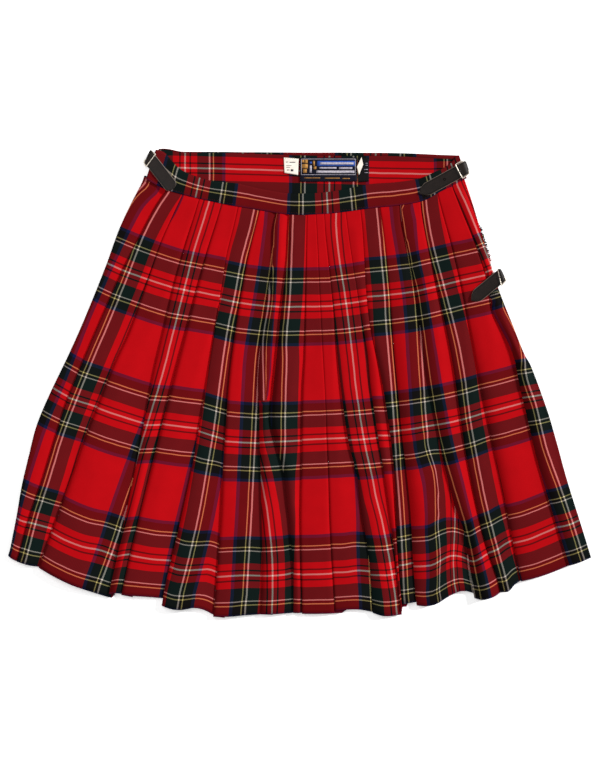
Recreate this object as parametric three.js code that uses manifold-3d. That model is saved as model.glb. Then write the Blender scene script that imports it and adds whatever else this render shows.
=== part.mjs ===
// A woman's kilted wrap skirt, fastened and laid flat with its pleated back upwards.
// Millimetres. +X to the wearer's right as seen here, +Y towards the waist, +Z up.
// z = 0 is the surface that the skirt lies on, x = y = 0 the middle of its bounding box.
import * as THREE from 'three';
import Module from 'manifold-3d';

const wasm = await Module();
wasm.setup();

// Sizes that drive everything else
const CLOTH = 1.2; // thickness of one layer of cloth
const SEAM_GAP = 0.3; // clearance between pieces sewn to each other
const FOLD_STEP = 1.55; // height from one folded layer to the next
const CENTRE = [1.03, 2.18]; // moves the finished skirt's box onto the origin
const APEX_X = 7.9; // the fan of pleats spreads from this point
const APEX_Y = 814.9;
const BAND_TOP_Y = 276.1; // straight upper edge of the apron waistband
const BAND_HEIGHT = 30;
const ROLL_WIDTH = 6.5; // strip of waistband rolled over the top edge
const FACING_LOW_R = 599; // lower edge of the facing, on an arc of the fan
const UNDERLAP_SHARE = 0.45; // how far a pleat runs under the next, of the panel's width
const UNDERLAP_MOST = 13;
const STRAP_WIDTH = 16;
const STRAP_THICK = 1.8;
const STRAP_UNDER_Z = 7.75; // underside of a strap over the pleats
const LABEL_THICK = 1.0;

// Heights of the layers, at the middle of each wall
const OVER_APRON_Z = CLOTH / 2;
const UNDER_APRON_Z = OVER_APRON_Z + CLOTH + SEAM_GAP;
const BACK_Z = UNDER_APRON_Z + CLOTH + SEAM_GAP;
const FACING_LOW_Z = 3.0;
const BACK_BAND_Z = [4.9, 7.2];

// Pleats from left to right. Columns: name; the angle of the fold edge in degrees from straight down
// at the seven radii of STATIONS; the hem's radius at the panel's left, middle and right; how far the
// panel bulges upwards near the hem.
const STATIONS = [633, 669, 782, 824, 925, 979, 1075];
const PLEATS = [
  ['side', [-19.2, -19.52, -19.75, -19.95, -20.43, -20.1, -19.25], [1078, 1084, 1085], 0.4],
  ['p2', [-16.9, -17.3, -18.2, -18.5, -18.66, -18.67, -18.6], [1085, 1085, 1084], 0.3],
  ['p3', [-14.7, -15.3, -15.66, -16.1, -16.7, -16.9, -17.15], [1084, 1093, 1098], 1.6],
  ['p4', [-12.5, -12.7, -12.85, -12.85, -12.63, -12.6, -12.58], [1093.5, 1092, 1090.5], 0.5],
  ['p5', [-9.67, -10.2, -10.72, -10.87, -11.37, -11.52, -11.63], [1092, 1089, 1087.5], 0.4],
  ['p6', [-7.98, -8.3, -8.39, -8.4, -8.48, -8.68, -9.18], [1097, 1093, 1099], 1.2],
  ['p7', [-5.47, -5.8, -6.4, -6.36, -6.13, -5.93, -5.7], [1100, 1097.5, 1095.5], 0.8],
  ['p8', [-3.3, -3.5, -3.8, -3.8, -3.2, -3.1, -3.0], [1095.5, 1093.5, 1091], 0.4],
  ['p9', [-2.05, -2.05, -2.7, -2.83, -2.05, -0.88, -0.8], [1091, 1091, 1092], 0],
  ['p10', [-0.05, -0.1, -0.22, -0.37, -0.43, -0.46, -0.33], [1092.4, 1092, 1091], 0.4],
  ['p11', [1.0, 1.1, 1.35, 1.42, 1.57, 1.58, 1.73], [1089.4, 1089, 1089.5], 0.3],
  ['p12', [1.9, 2.1, 2.56, 2.78, 3.5, 3.65, 3.6], [1090, 1094, 1099], 1.3],
  ['p13', [4.5, 4.7, 5.4, 5.4, 5.7, 5.78, 5.6], [1099, 1099, 1099], 0],
  ['p14', [6.0, 6.2, 6.05, 6.3, 6.4, 6.27, 5.95], [1086, 1086, 1085.6], 0.2],
  ['p15', [8.27, 8.2, 7.65, 7.58, 7.4, 7.35, 7.0], [1089, 1085, 1083], 1.0],
  ['p16', [10.75, 10.53, 10.28, 10.15, 10.2, 10.3, 10.2], [1088, 1096, 1091], 1.5],
  ['p17', [12.75, 12.5, 12.4, 12.33, 11.85, 11.76, 12.2], [1091, 1087, 1083], 0.6],
  ['p18', [14.7, 14.8, 14.6, 14.45, 14.07, 14.0, 13.6], [1084.8, 1084, 1082.5], 0.6],
  ['p19', [16.1, 16.6, 17.45, 17.6, 17.0, 16.9, 16.9], [1082.3, 1082, 1080.7], 0.2],
];
const RIGHT_SIDE = [18.25, 18.05, 18.28, 18.4, 18.66, 18.5, 18.2];

// Rows down the cloth, from the seam at the waistband (0) to the hem (1)
const ROWS = [0, 0.1, 0.3, 0.45, 0.6, 0.72, 0.82, 0.91, 1];
const ROW_TOP_R = 612;
const ROW_HEM_R = 1090;

// The back waistband: angle, radius of its upper edge, radius of its lower edge
const BACK_BAND = [
  [-18.55, 570, 602], [-17.6, 574, 605], [-16.6, 579, 607], [-15.4, 583, 608], [-11.4, 585, 608.6],
  [-8.0, 583, 609.8], [-5.2, 586, 611], [-2.2, 589.1, 614], [0.3, 589, 614.2], [2.8, 587.7, 613.2],
  [5.2, 585, 612], [7.5, 583, 611.3], [10.4, 585.5, 613], [13.2, 587, 613.5], [15.3, 584, 608],
  [17.2, 580, 604], [18.3, 573, 602],
];

// Straps: name; the point where the strap comes round the side edge; the direction it runs to its tip;
// its length on top; the distance from the edge to the buckle; how long the point is
const STRAPS = [
  ['left_waist', [-180.8, 268.5], [0.637, -0.771], 46.5, 2.3, 4.5],
  ['right_waist', [199.0, 256.9], [-0.853, -0.522], 65.5, 6.9, 9],
  ['right_hip', [241.3, 130.1], [-0.795, -0.607], 47, 2.5, 8],
];
const BUCKLE = { across: 20, along: 8.5, bar: 1.7, prong: 1.5, thick: 1.5 };

// Fringe along the over apron's free edge, at the right side. It peeps out between the two straps.
const FRINGE = { inset: 7.5, strip: 2, strands: 165, width: 1.0, peepFrom: 0.03, peepTo: 0.19, peep: 3.2, hidden: -1.5 };

const degrees = Math.PI / 180;
const polar = (angle, r) => [APEX_X + r * Math.sin(angle * degrees), APEX_Y - r * Math.cos(angle * degrees)];

// A value from a short table, straight between its entries and level beyond them
function between(xs, ys, x) {
  if (x <= xs[0]) return ys[0];
  for (let k = 1; k < xs.length; k++) {
    if (x <= xs[k]) return ys[k - 1] + ((ys[k] - ys[k - 1]) * (x - xs[k - 1])) / (xs[k] - xs[k - 1]);
  }
  return ys[ys.length - 1];
}

const sideAngle = (r) => between([560, 592, 613, ...STATIONS], [-18.3, -18.56, -18.86, ...PLEATS[0][1]], r);
const rightAngle = (r) => between(STATIONS, RIGHT_SIDE, r);
const bandTop = (angle) => between(BACK_BAND.map((b) => b[0]), BACK_BAND.map((b) => b[1]), angle);
const bandLow = (angle) => between(BACK_BAND.map((b) => b[0]), BACK_BAND.map((b) => b[2]), angle);

const group = new THREE.Group();
group.position.set(CENTRE[0], CENTRE[1], 0);
const tartan = { color: 0xc80c12, roughness: 0.85, metalness: 0 };
const finishes = {
  tartan: new THREE.MeshStandardMaterial(tartan),
  facing: new THREE.MeshStandardMaterial({ ...tartan, color: 0xa80a12 }),
  fringe: new THREE.MeshStandardMaterial({ ...tartan, color: 0xb01018 }),
  white: new THREE.MeshStandardMaterial({ color: 0xf0eeea, roughness: 0.6, metalness: 0 }),
  navy: new THREE.MeshStandardMaterial({ color: 0x1e2540, roughness: 0.55, metalness: 0 }),
  black: new THREE.MeshStandardMaterial({ color: 0x17171a, roughness: 0.55, metalness: 0 }),
  leather: new THREE.MeshStandardMaterial({ color: 0x302826, roughness: 0.5, metalness: 0 }),
  nickel: new THREE.MeshStandardMaterial({ color: 0xb8b2a6, roughness: 0.35, metalness: 0.9 }),
};

function add(name, geometry, finish) {
  const mesh = new THREE.Mesh(geometry, finishes[finish]);
  mesh.name = name;
  group.add(mesh);
  return mesh;
}

// A closed wall from two grids of points, its upper and its lower face
function wall(upper, lower) {
  const rows = upper.length;
  const columns = upper[0].length;
  const points = [...upper, ...lower].flat(2);
  const at = (face, j, i) => (face * rows + j) * columns + i;
  const index = [];
  const quad = (a, b, c, d) => index.push(a, b, c, a, c, d);
  for (let j = 0; j < rows - 1; j++) {
    for (let i = 0; i < columns - 1; i++) {
      quad(at(0, j, i), at(0, j + 1, i), at(0, j + 1, i + 1), at(0, j, i + 1));
      quad(at(1, j, i), at(1, j, i + 1), at(1, j + 1, i + 1), at(1, j + 1, i));
    }
    quad(at(0, j, 0), at(1, j, 0), at(1, j + 1, 0), at(0, j + 1, 0));
    const e = columns - 1;
    quad(at(0, j, e), at(0, j + 1, e), at(1, j + 1, e), at(1, j, e));
  }
  for (let i = 0; i < columns - 1; i++) {
    quad(at(0, 0, i), at(0, 0, i + 1), at(1, 0, i + 1), at(1, 0, i));
    const e = rows - 1;
    quad(at(0, e, i), at(1, e, i), at(1, e, i + 1), at(0, e, i + 1));
  }
  const volume = index.reduce((sum, _, k) => {
    if (k % 3) return sum;
    const [a, b, c] = [0, 1, 2].map((n) => new THREE.Vector3(...points.slice(index[k + n] * 3, index[k + n] * 3 + 3)));
    return sum + a.dot(b.cross(c));
  }, 0);
  if (volume < 0) {
    for (let k = 0; k < index.length; k += 3) [index[k + 1], index[k + 2]] = [index[k + 2], index[k + 1]];
  }
  const geometry = new THREE.BufferGeometry();
  geometry.setAttribute('position', new THREE.Float32BufferAttribute(points, 3));
  geometry.setIndex(index);
  geometry.computeVertexNormals();
  return geometry;
}

// Both faces of a wall around a path of [x, z] points: each point moved along the path's mitred normal
function faces(path, thickness) {
  const unit = (a, b) => {
    const [dx, dz] = [b[0] - a[0], b[1] - a[1]];
    const l = Math.hypot(dx, dz);
    return [dx / l, dz / l];
  };
  const moved = (side) => path.map((p, k) => {
    const before = unit(path[Math.max(k - 1, 0)], path[Math.max(k, 1)]);
    const after = unit(path[Math.min(k, path.length - 2)], path[Math.min(k + 1, path.length - 1)]);
    const n = [-(before[1] + after[1]), before[0] + after[0]];
    const l = Math.hypot(...n);
    const spread = Math.min(1 / Math.max((n[0] * -after[1] + n[1] * after[0]) / l, 0.5), 1.5);
    const shift = (side * thickness * spread) / 2;
    return [p[0] + (n[0] / l) * shift, p[1] + (n[1] / l) * shift];
  });
  return [moved(1), moved(-1)];
}

// The pleated back. Each fold edge lies on top of the panel at its left, and the cloth runs under the
// next panel, turns, comes back and turns up again.
function backRow(t) {
  const nominal = ROW_TOP_R + (ROW_HEM_R - ROW_TOP_R) * t;
  const edges = PLEATS.map((p, k) => (k ? between(STATIONS, p[1], nominal) : sideAngle(nominal)));
  edges.push(rightAngle(nominal));
  const arc = degrees * nominal;
  const low = BACK_Z;
  const returned = low + FOLD_STEP;
  const top = low + 2 * FOLD_STEP;
  const turn = FOLD_STEP / 2;
  const path = [];
  const put = (angle, offset, z, hem) => path.push([angle * arc + offset, z, hem]);
  PLEATS.forEach(([name, , hem, bulge], k) => {
    const width = (edges[k + 1] - edges[k]) * arc;
    const lap = Math.min(width * UNDERLAP_SHARE, UNDERLAP_MOST);
    const lift = bulge * 2.2 * Math.max(0, (t - 0.5) / 0.5);
    if (k === 0) {
      put(edges[k], 2.1, UNDER_APRON_Z, hem[0]);
      put(edges[k], 0.32 * width, UNDER_APRON_Z + lift + 0.5, hem[1]);
      put(edges[k], 0.68 * width, low + lift * 0.6, hem[1]);
    } else {
      put(edges[k], 0, top - turn, hem[0]);
      put(edges[k], turn, top, hem[0]);
      put(edges[k], Math.max(lap + 0.6, 0.34 * width), top + lift, hem[0] * 0.5 + hem[1] * 0.5);
      put(edges[k], 0.7 * width, low + (top - low) * 0.42 + lift * 0.8, hem[1] * 0.6 + hem[2] * 0.4);
    }
    if (k === PLEATS.length - 1) {
      put(edges[k + 1], -1.9, low, hem[2]);
      return;
    }
    const nextHem = PLEATS[k + 1][2][0];
    const nextWidth = (edges[k + 2] - edges[k + 1]) * arc;
    const nextLap = Math.min(nextWidth * UNDERLAP_SHARE, UNDERLAP_MOST);
    put(edges[k + 1], -Math.min(1.6, 0.16 * width), low, hem[2]);
    put(edges[k + 1], nextLap - turn, low, hem[2]);
    put(edges[k + 1], nextLap, low + turn, (hem[2] + nextHem) / 2);
    put(edges[k + 1], nextLap - turn, returned, (hem[2] + nextHem) / 2);
    put(edges[k + 1], turn, returned, nextHem);
  });
  const place = ([x, z], k) => {
    const angle = x / arc;
    const seam = bandLow(angle) + SEAM_GAP;
    const [px, py] = polar(angle, seam + (path[k][2] - seam) * t);
    return [px, py, z];
  };
  return faces(path, CLOTH).map((face) => face.map(place));
}
const backRows = ROWS.map(backRow);
add('pleated_back', wall(backRows.map((r) => r[0]), backRows.map((r) => r[1])), 'tartan');

// A place on the aprons, t of the way from the seam to the hem, or at the straight top edge
function onApron(angle, t) {
  const straight = (APEX_Y - BAND_TOP_Y + BAND_HEIGHT + SEAM_GAP) / Math.cos(angle * degrees);
  if (t === 'top') return polar(angle, straight);
  const seam = Math.max(bandLow(angle) + SEAM_GAP, straight + 0.5);
  const hem = between([-19, 18], [PLEATS[0][2][0], PLEATS[PLEATS.length - 1][2][2]], angle);
  return polar(angle, seam + (hem - seam) * t);
}

// A flat panel of the apron between two edges of the fan. One side turns up round the fold to meet
// the pleated back.
function apron(left, right, z, foldAt) {
  const rows = ['top', ...ROWS].map((t) => {
    const nominal = t === 'top' ? ROW_TOP_R : ROW_TOP_R + (ROW_HEM_R - ROW_TOP_R) * t;
    const arc = degrees * nominal;
    const a = left(nominal) * arc;
    const b = right(nominal) * arc;
    const turn = FOLD_STEP / 2;
    const across = [0, 0.12, 0.25, 0.38, 0.5, 0.62, 0.75, 0.88, 1];
    const flat = across.map((f) => [a + (b - a) * f, z]);
    if (foldAt < 0) {
      flat[0][0] = a + 0.7 + turn;
      flat.unshift([a + 1.5, z + 2 * turn - 0.05], [a + 0.7, z + turn]);
    }
    if (foldAt > 0) {
      flat[flat.length - 1][0] = b - 0.7 - turn;
      flat.push([b - 0.7, z + turn], [b - 1.5, z + 2 * turn - 0.05]);
    }
    const place = ([x, h]) => [...onApron(x / arc, t), h];
    return faces(flat, CLOTH).map((face) => face.map(place));
  });
  return wall(rows.map((r) => r[0]), rows.map((r) => r[1]));
}
const inset = (angle, r, by) => angle + by / (r * degrees);
const underLeft = (r) => inset(sideAngle(r), r, 22);
const overRight = (r) => inset(rightAngle(r), r, -FRINGE.inset);
add('over_apron', apron(sideAngle, overRight, OVER_APRON_Z, -1), 'tartan');
add('under_apron', apron(underLeft, rightAngle, UNDER_APRON_Z, 1), 'tartan');

// The back waistband follows the curve of the waist
const bandAngles = [];
for (let k = 0; k <= 24; k++) bandAngles.push(-18.55 + (36.85 * k) / 24);
const bandRow = (z) => [0, 1].map((f) => bandAngles.map((angle) => {
  const r = bandTop(angle) + (bandLow(angle) - bandTop(angle)) * f;
  return [...polar(angle, r), z];
}));
add('back_waistband', wall(bandRow(BACK_BAND_Z[1]), bandRow(BACK_BAND_Z[0])), 'tartan');

// The apron waistband lies straight, with its rolled upper edge showing behind the back waistband
const bandEnds = [-168.5, 189.0];
const rollSection = [
  [0, 0.3], [-BAND_HEIGHT, 0.3], [-BAND_HEIGHT, 2.7], [-ROLL_WIDTH, 2.7], [-ROLL_WIDTH + 0.4, 4.1],
  [-ROLL_WIDTH + 1.6, 4.6], [-1.6, 4.4], [0, 3.2],
];
rollSection[0][1] = 0;
rollSection[1][1] = 0;
const rollShape = new THREE.Shape(rollSection.map(([y, z]) => new THREE.Vector2(y, z)));
const roll = new THREE.ExtrudeGeometry(rollShape, { depth: bandEnds[1] - bandEnds[0], steps: 12, bevelEnabled: false });
roll.rotateY(Math.PI / 2);
roll.rotateX(Math.PI / 2);
roll.translate(bandEnds[0], BAND_TOP_Y, 0);
add('apron_waistband', roll, 'tartan');

// The facing inside the apron waistband
const facingXs = [];
for (let k = 0; k <= 20; k++) facingXs.push(bandEnds[0] + 1 + ((bandEnds[1] - bandEnds[0] - 2) * k) / 20);
const facingGrid = (z) => [0, 1].map((f) => facingXs.map((x) => {
  const low = APEX_Y - Math.sqrt(FACING_LOW_R ** 2 - (x - APEX_X) ** 2);
  const high = BAND_TOP_Y - ROLL_WIDTH - SEAM_GAP;
  return [x, high + (low - high) * f, z];
}));
add('inner_facing', wall(facingGrid(FACING_LOW_Z + CLOTH), facingGrid(FACING_LOW_Z)), 'facing');

// Labels sewn to the facing: name; left, right; top; bottom at the left and at the right; height; finish
const LABELS = [
  ['size_label', [-18.6, -0.9], [268.9, 251.0, 248.2], 4.5, 'white'],
  ['woven_label', [-0.1, 69.0], [269.2, 239.8, 240.2], 4.5, 'navy'],
  ['care_label', [69.6, 82.6], [268.6, 239.2, 240.2], 4.5, 'black'],
  ['care_label_flap', [69.9, 76.6], [265.4, 247.6, 247.6], 5.8, 'white'],
];
for (const [name, [x0, x1], [top, lowLeft, lowRight], z, finish] of LABELS) {
  const grid = (h) => [0, 1].map((f) => [0, 0.5, 1].map((g) => {
    const low = lowLeft + (lowRight - lowLeft) * g;
    return [x0 + (x1 - x0) * g, top + (low - top) * f, h];
  }));
  add(name, wall(grid(z + LABEL_THICK), grid(z)), finish);
}

// Straps and their buckles. Each strap comes round the side edge, through its buckle, to a pointed tip.
for (const [name, edge, [ux, uy], length, buckleAt, point] of STRAPS) {
  const middle = STRAP_UNDER_Z + STRAP_THICK / 2;
  const path = [[-2.2, 2.9], [-2.2, middle - 1.6], [-1.5, middle - 0.4], [0, middle]];
  for (const f of [0.3, 0.6, 1]) path.push([(length - point) * f, middle]);
  path.push([length - point * 0.45, middle], [length, middle]);
  const halves = path.map((_, k) => {
    const left = path.length - 1 - k;
    return (STRAP_WIDTH / 2) * (left === 0 ? 0.12 : left === 1 ? 0.62 : 1);
  });
  const grid = faces(path, STRAP_THICK).map((face) => [-1, 0, 1].map((side) => face.map(([s, z], k) => {
    const across = side * halves[k];
    return [edge[0] + ux * s - uy * across, edge[1] + uy * s + ux * across, z];
  })));
  add('strap_' + name, wall(grid[0], grid[1]), 'leather');

  const { across, along, bar, prong, thick } = BUCKLE;
  const rectangle = (x0, x1, y0, y1, cls) => {
    const shape = new cls();
    shape.moveTo(x0, y0);
    shape.lineTo(x1, y0);
    shape.lineTo(x1, y1);
    shape.lineTo(x0, y1);
    shape.lineTo(x0, y0);
    return shape;
  };
  const frame = rectangle(-along / 2, along / 2, -across / 2, across / 2, THREE.Shape);
  for (const side of [-1, 1]) {
    const y0 = side < 0 ? -across / 2 + bar : prong / 2;
    const y1 = side < 0 ? -prong / 2 : across / 2 - bar;
    frame.holes.push(rectangle(-along / 2 + bar, along / 2 - bar, y0, y1, THREE.Path));
  }
  const buckle = new THREE.ExtrudeGeometry(frame, { depth: thick, steps: 1, bevelEnabled: false });
  buckle.translate(0, 0, STRAP_UNDER_Z + STRAP_THICK + SEAM_GAP);
  const mesh = add('buckle_' + name, buckle, 'nickel');
  mesh.position.set(edge[0] + ux * buckleAt, edge[1] + uy * buckleAt, 0);
  mesh.rotation.z = Math.atan2(uy, ux);
}

// The fringe: a narrow strip along the apron's edge with loose threads fused into it
function solid(points, triangles) {
  return new wasm.Manifold(new wasm.Mesh({
    numProp: 3,
    vertProperties: new Float32Array(points.flat()),
    triVerts: new Uint32Array(triangles.flat()),
  }));
}
function fringe() {
  const pieces = [];
  const upper = [];
  const lower = [];
  const beside = (t, by, edge) => {
    const nominal = ROW_TOP_R + (ROW_HEM_R - ROW_TOP_R) * t;
    return onApron(inset(edge(nominal), nominal, by), t);
  };
  const polarBetween = (t, by, edge) => {
    const k = Math.max(ROWS.findIndex((row) => row >= t), 1);
    const f = (t - ROWS[k - 1]) / (ROWS[k] - ROWS[k - 1]);
    const [a, b] = [beside(ROWS[k - 1], by, edge), beside(ROWS[k], by, edge)];
    return [a[0] + (b[0] - a[0]) * f, a[1] + (b[1] - a[1]) * f];
  };
  for (const t of ROWS) {
    const ends = [SEAM_GAP, SEAM_GAP + FRINGE.strip].map((by) => beside(t, by, overRight));
    upper.push(ends.map((p) => [...p, 1.1]));
    lower.push(ends.map((p) => [...p, 0]));
  }
  const strip = wall(upper, lower);
  const positions = strip.getAttribute('position').array;
  pieces.push(new wasm.Manifold(new wasm.Mesh({
    numProp: 3,
    vertProperties: new Float32Array(positions),
    triVerts: new Uint32Array(strip.index.array),
  })));
  for (let k = 0; k < FRINGE.strands; k++) {
    const t = 0.004 + (0.992 * k) / (FRINGE.strands - 1);
    const shows = t > FRINGE.peepFrom && t < FRINGE.peepTo;
    const uneven = 0.9 * Math.sin(k * 2.4) * Math.cos(k * 0.7);
    const reach = (shows ? FRINGE.peep : FRINGE.hidden) + uneven;
    const root = polarBetween(t, SEAM_GAP + 1.2, overRight);
    const tip = polarBetween(Math.min(t + 0.003 * Math.sin(k * 1.7), 1), reach, rightAngle);
    const [dx, dy] = [tip[0] - root[0], tip[1] - root[1]];
    const l = Math.hypot(dx, dy);
    const [nx, ny] = [(-dy / l) * FRINGE.width * 0.5, (dx / l) * FRINGE.width * 0.5];
    const points = [
      [root[0] + nx, root[1] + ny, 0.15], [root[0] - nx, root[1] - ny, 0.15], [root[0], root[1], 0.95],
      [tip[0] + nx * 0.7, tip[1] + ny * 0.7, 0.15], [tip[0] - nx * 0.7, tip[1] - ny * 0.7, 0.15], [tip[0], tip[1], 0.75],
    ];
    const triangles = [[0, 2, 1], [3, 4, 5], [0, 1, 4], [0, 4, 3], [1, 2, 5], [1, 5, 4], [2, 0, 3], [2, 3, 5]];
    const strand = solid(points, triangles);
    pieces.push(strand.volume() < 0 ? solid(points, triangles.map(([a, b, c]) => [a, c, b])) : strand);
  }
  const joined = wasm.Manifold.union(pieces).getMesh();
  const geometry = new THREE.BufferGeometry();
  geometry.setAttribute('position', new THREE.Float32BufferAttribute(joined.vertProperties, 3));
  geometry.setIndex([...joined.triVerts]);
  geometry.computeVertexNormals();
  return geometry;
}
add('fringe_edge', fringe(), 'fringe');

export default group;
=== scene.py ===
# %% [markdown]
# # A kilted wrap skirt laid flat
# The skirt is fastened, laid on its front and seen from straight above, so the pleated back faces the
# camera. Everything is made from a few tables like those of the solid model, set a little closer to the
# photo: a fan of pleats that spreads from one point far above the waist. The loaded model is the frame
# that every piece has to fit.

# %% Load the frame
import bpy
import math
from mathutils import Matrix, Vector, noise


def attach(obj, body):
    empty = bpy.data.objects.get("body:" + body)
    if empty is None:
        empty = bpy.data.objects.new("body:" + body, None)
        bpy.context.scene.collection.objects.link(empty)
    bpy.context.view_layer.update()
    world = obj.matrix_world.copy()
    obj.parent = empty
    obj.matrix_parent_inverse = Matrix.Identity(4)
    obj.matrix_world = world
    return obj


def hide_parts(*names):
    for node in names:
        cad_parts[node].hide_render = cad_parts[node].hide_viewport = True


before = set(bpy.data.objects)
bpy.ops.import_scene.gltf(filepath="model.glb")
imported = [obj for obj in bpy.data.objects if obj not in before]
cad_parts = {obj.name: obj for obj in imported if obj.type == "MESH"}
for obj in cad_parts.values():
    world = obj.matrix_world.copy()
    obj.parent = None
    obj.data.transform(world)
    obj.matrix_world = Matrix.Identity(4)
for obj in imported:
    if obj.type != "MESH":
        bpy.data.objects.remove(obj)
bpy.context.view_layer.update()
MM = 0.001

# %% [markdown]
# ## Sizes and the fan
# A pleated skirt laid flat is a slice of a fan: the fold edges are nearly straight lines that meet at
# one far point. So a place on the cloth is given by an angle from straight down and a radius, and a
# short table holds the angle of each fold edge at a few radii.

# %% The fan's own measures, in millimetres and degrees
CENTRE = (1.03, 2.18)  # the shift that centres the box
APEX_X, APEX_Y = 7.9, 814.9  # the fan's point before that shift
APEX = (APEX_X + CENTRE[0], APEX_Y + CENTRE[1])
BACK_Z = 3.6  # the lowest layer of the pleated back
STEP = 1.1  # from one layer of cloth to the next
WAIST_RADIUS, BACK_LENGTH = 612, 478  # on average
WEFT_PIVOT = 707  # radius of the aprons' upper white weft stripe
DEGREE = math.radians(1)


def fan_point(angle, radius, height):
    """A point of the fan, in metres."""
    a = math.radians(angle)
    x, y = APEX[0] + radius * math.sin(a), APEX[1] - radius * math.cos(a)
    return Vector((x * MM, y * MM, height * MM))


def flat_point(x, y, height):
    """A point given in millimetres before the box was centred."""
    return Vector(((x + CENTRE[0]) * MM, (y + CENTRE[1]) * MM, height * MM))


def straight(xs, ys, x):
    """Straight between a table's entries, level beyond them."""
    if x <= xs[0]:
        return ys[0]
    for k in range(1, len(xs)):
        if x <= xs[k]:
            return ys[k - 1] + (ys[k] - ys[k - 1]) * (x - xs[k - 1]) / (xs[k] - xs[k - 1])
    return ys[-1]


def smooth(xs, ys, x):
    """A smooth curve through a table's entries, level beyond them."""
    if x <= xs[0]:
        return ys[0]
    if x >= xs[-1]:
        return ys[-1]
    k = next(i for i in range(1, len(xs)) if x <= xs[i])
    slopes = []
    for i in (k - 1, k):
        a, b = max(i - 1, 0), min(i + 1, len(xs) - 1)
        slopes.append((ys[b] - ys[a]) / (xs[b] - xs[a]))
    h = xs[k] - xs[k - 1]
    f = (x - xs[k - 1]) / h
    return (
        ys[k - 1] * (2 * f ** 3 - 3 * f ** 2 + 1)
        + slopes[0] * h * (f ** 3 - 2 * f ** 2 + f)
        + ys[k] * (3 * f ** 2 - 2 * f ** 3)
        + slopes[1] * h * (f ** 3 - f ** 2)
    )


def ease(f):
    """From 0 to 1 with a soft start and a soft end."""
    f = min(max(f, 0), 1)
    return f * f * (3 - 2 * f)


print("apex of the fan", APEX, "mm")

# %% [markdown]
# ## The pleats
# Each entry is one panel, from left to right. Down its fold edge the table gives the angle at a few radii,
# and the mark there: the place of that edge in the tartan, in millimetres from a white pivot stripe. The
# hem is given from left to right as radii, and so are the three white weft stripes that cross the panel,
# because real cloth never lies quite square. Bulge says how far the panel swells near the hem, and open how
# far its fold melts into a soft wave there.

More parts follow.
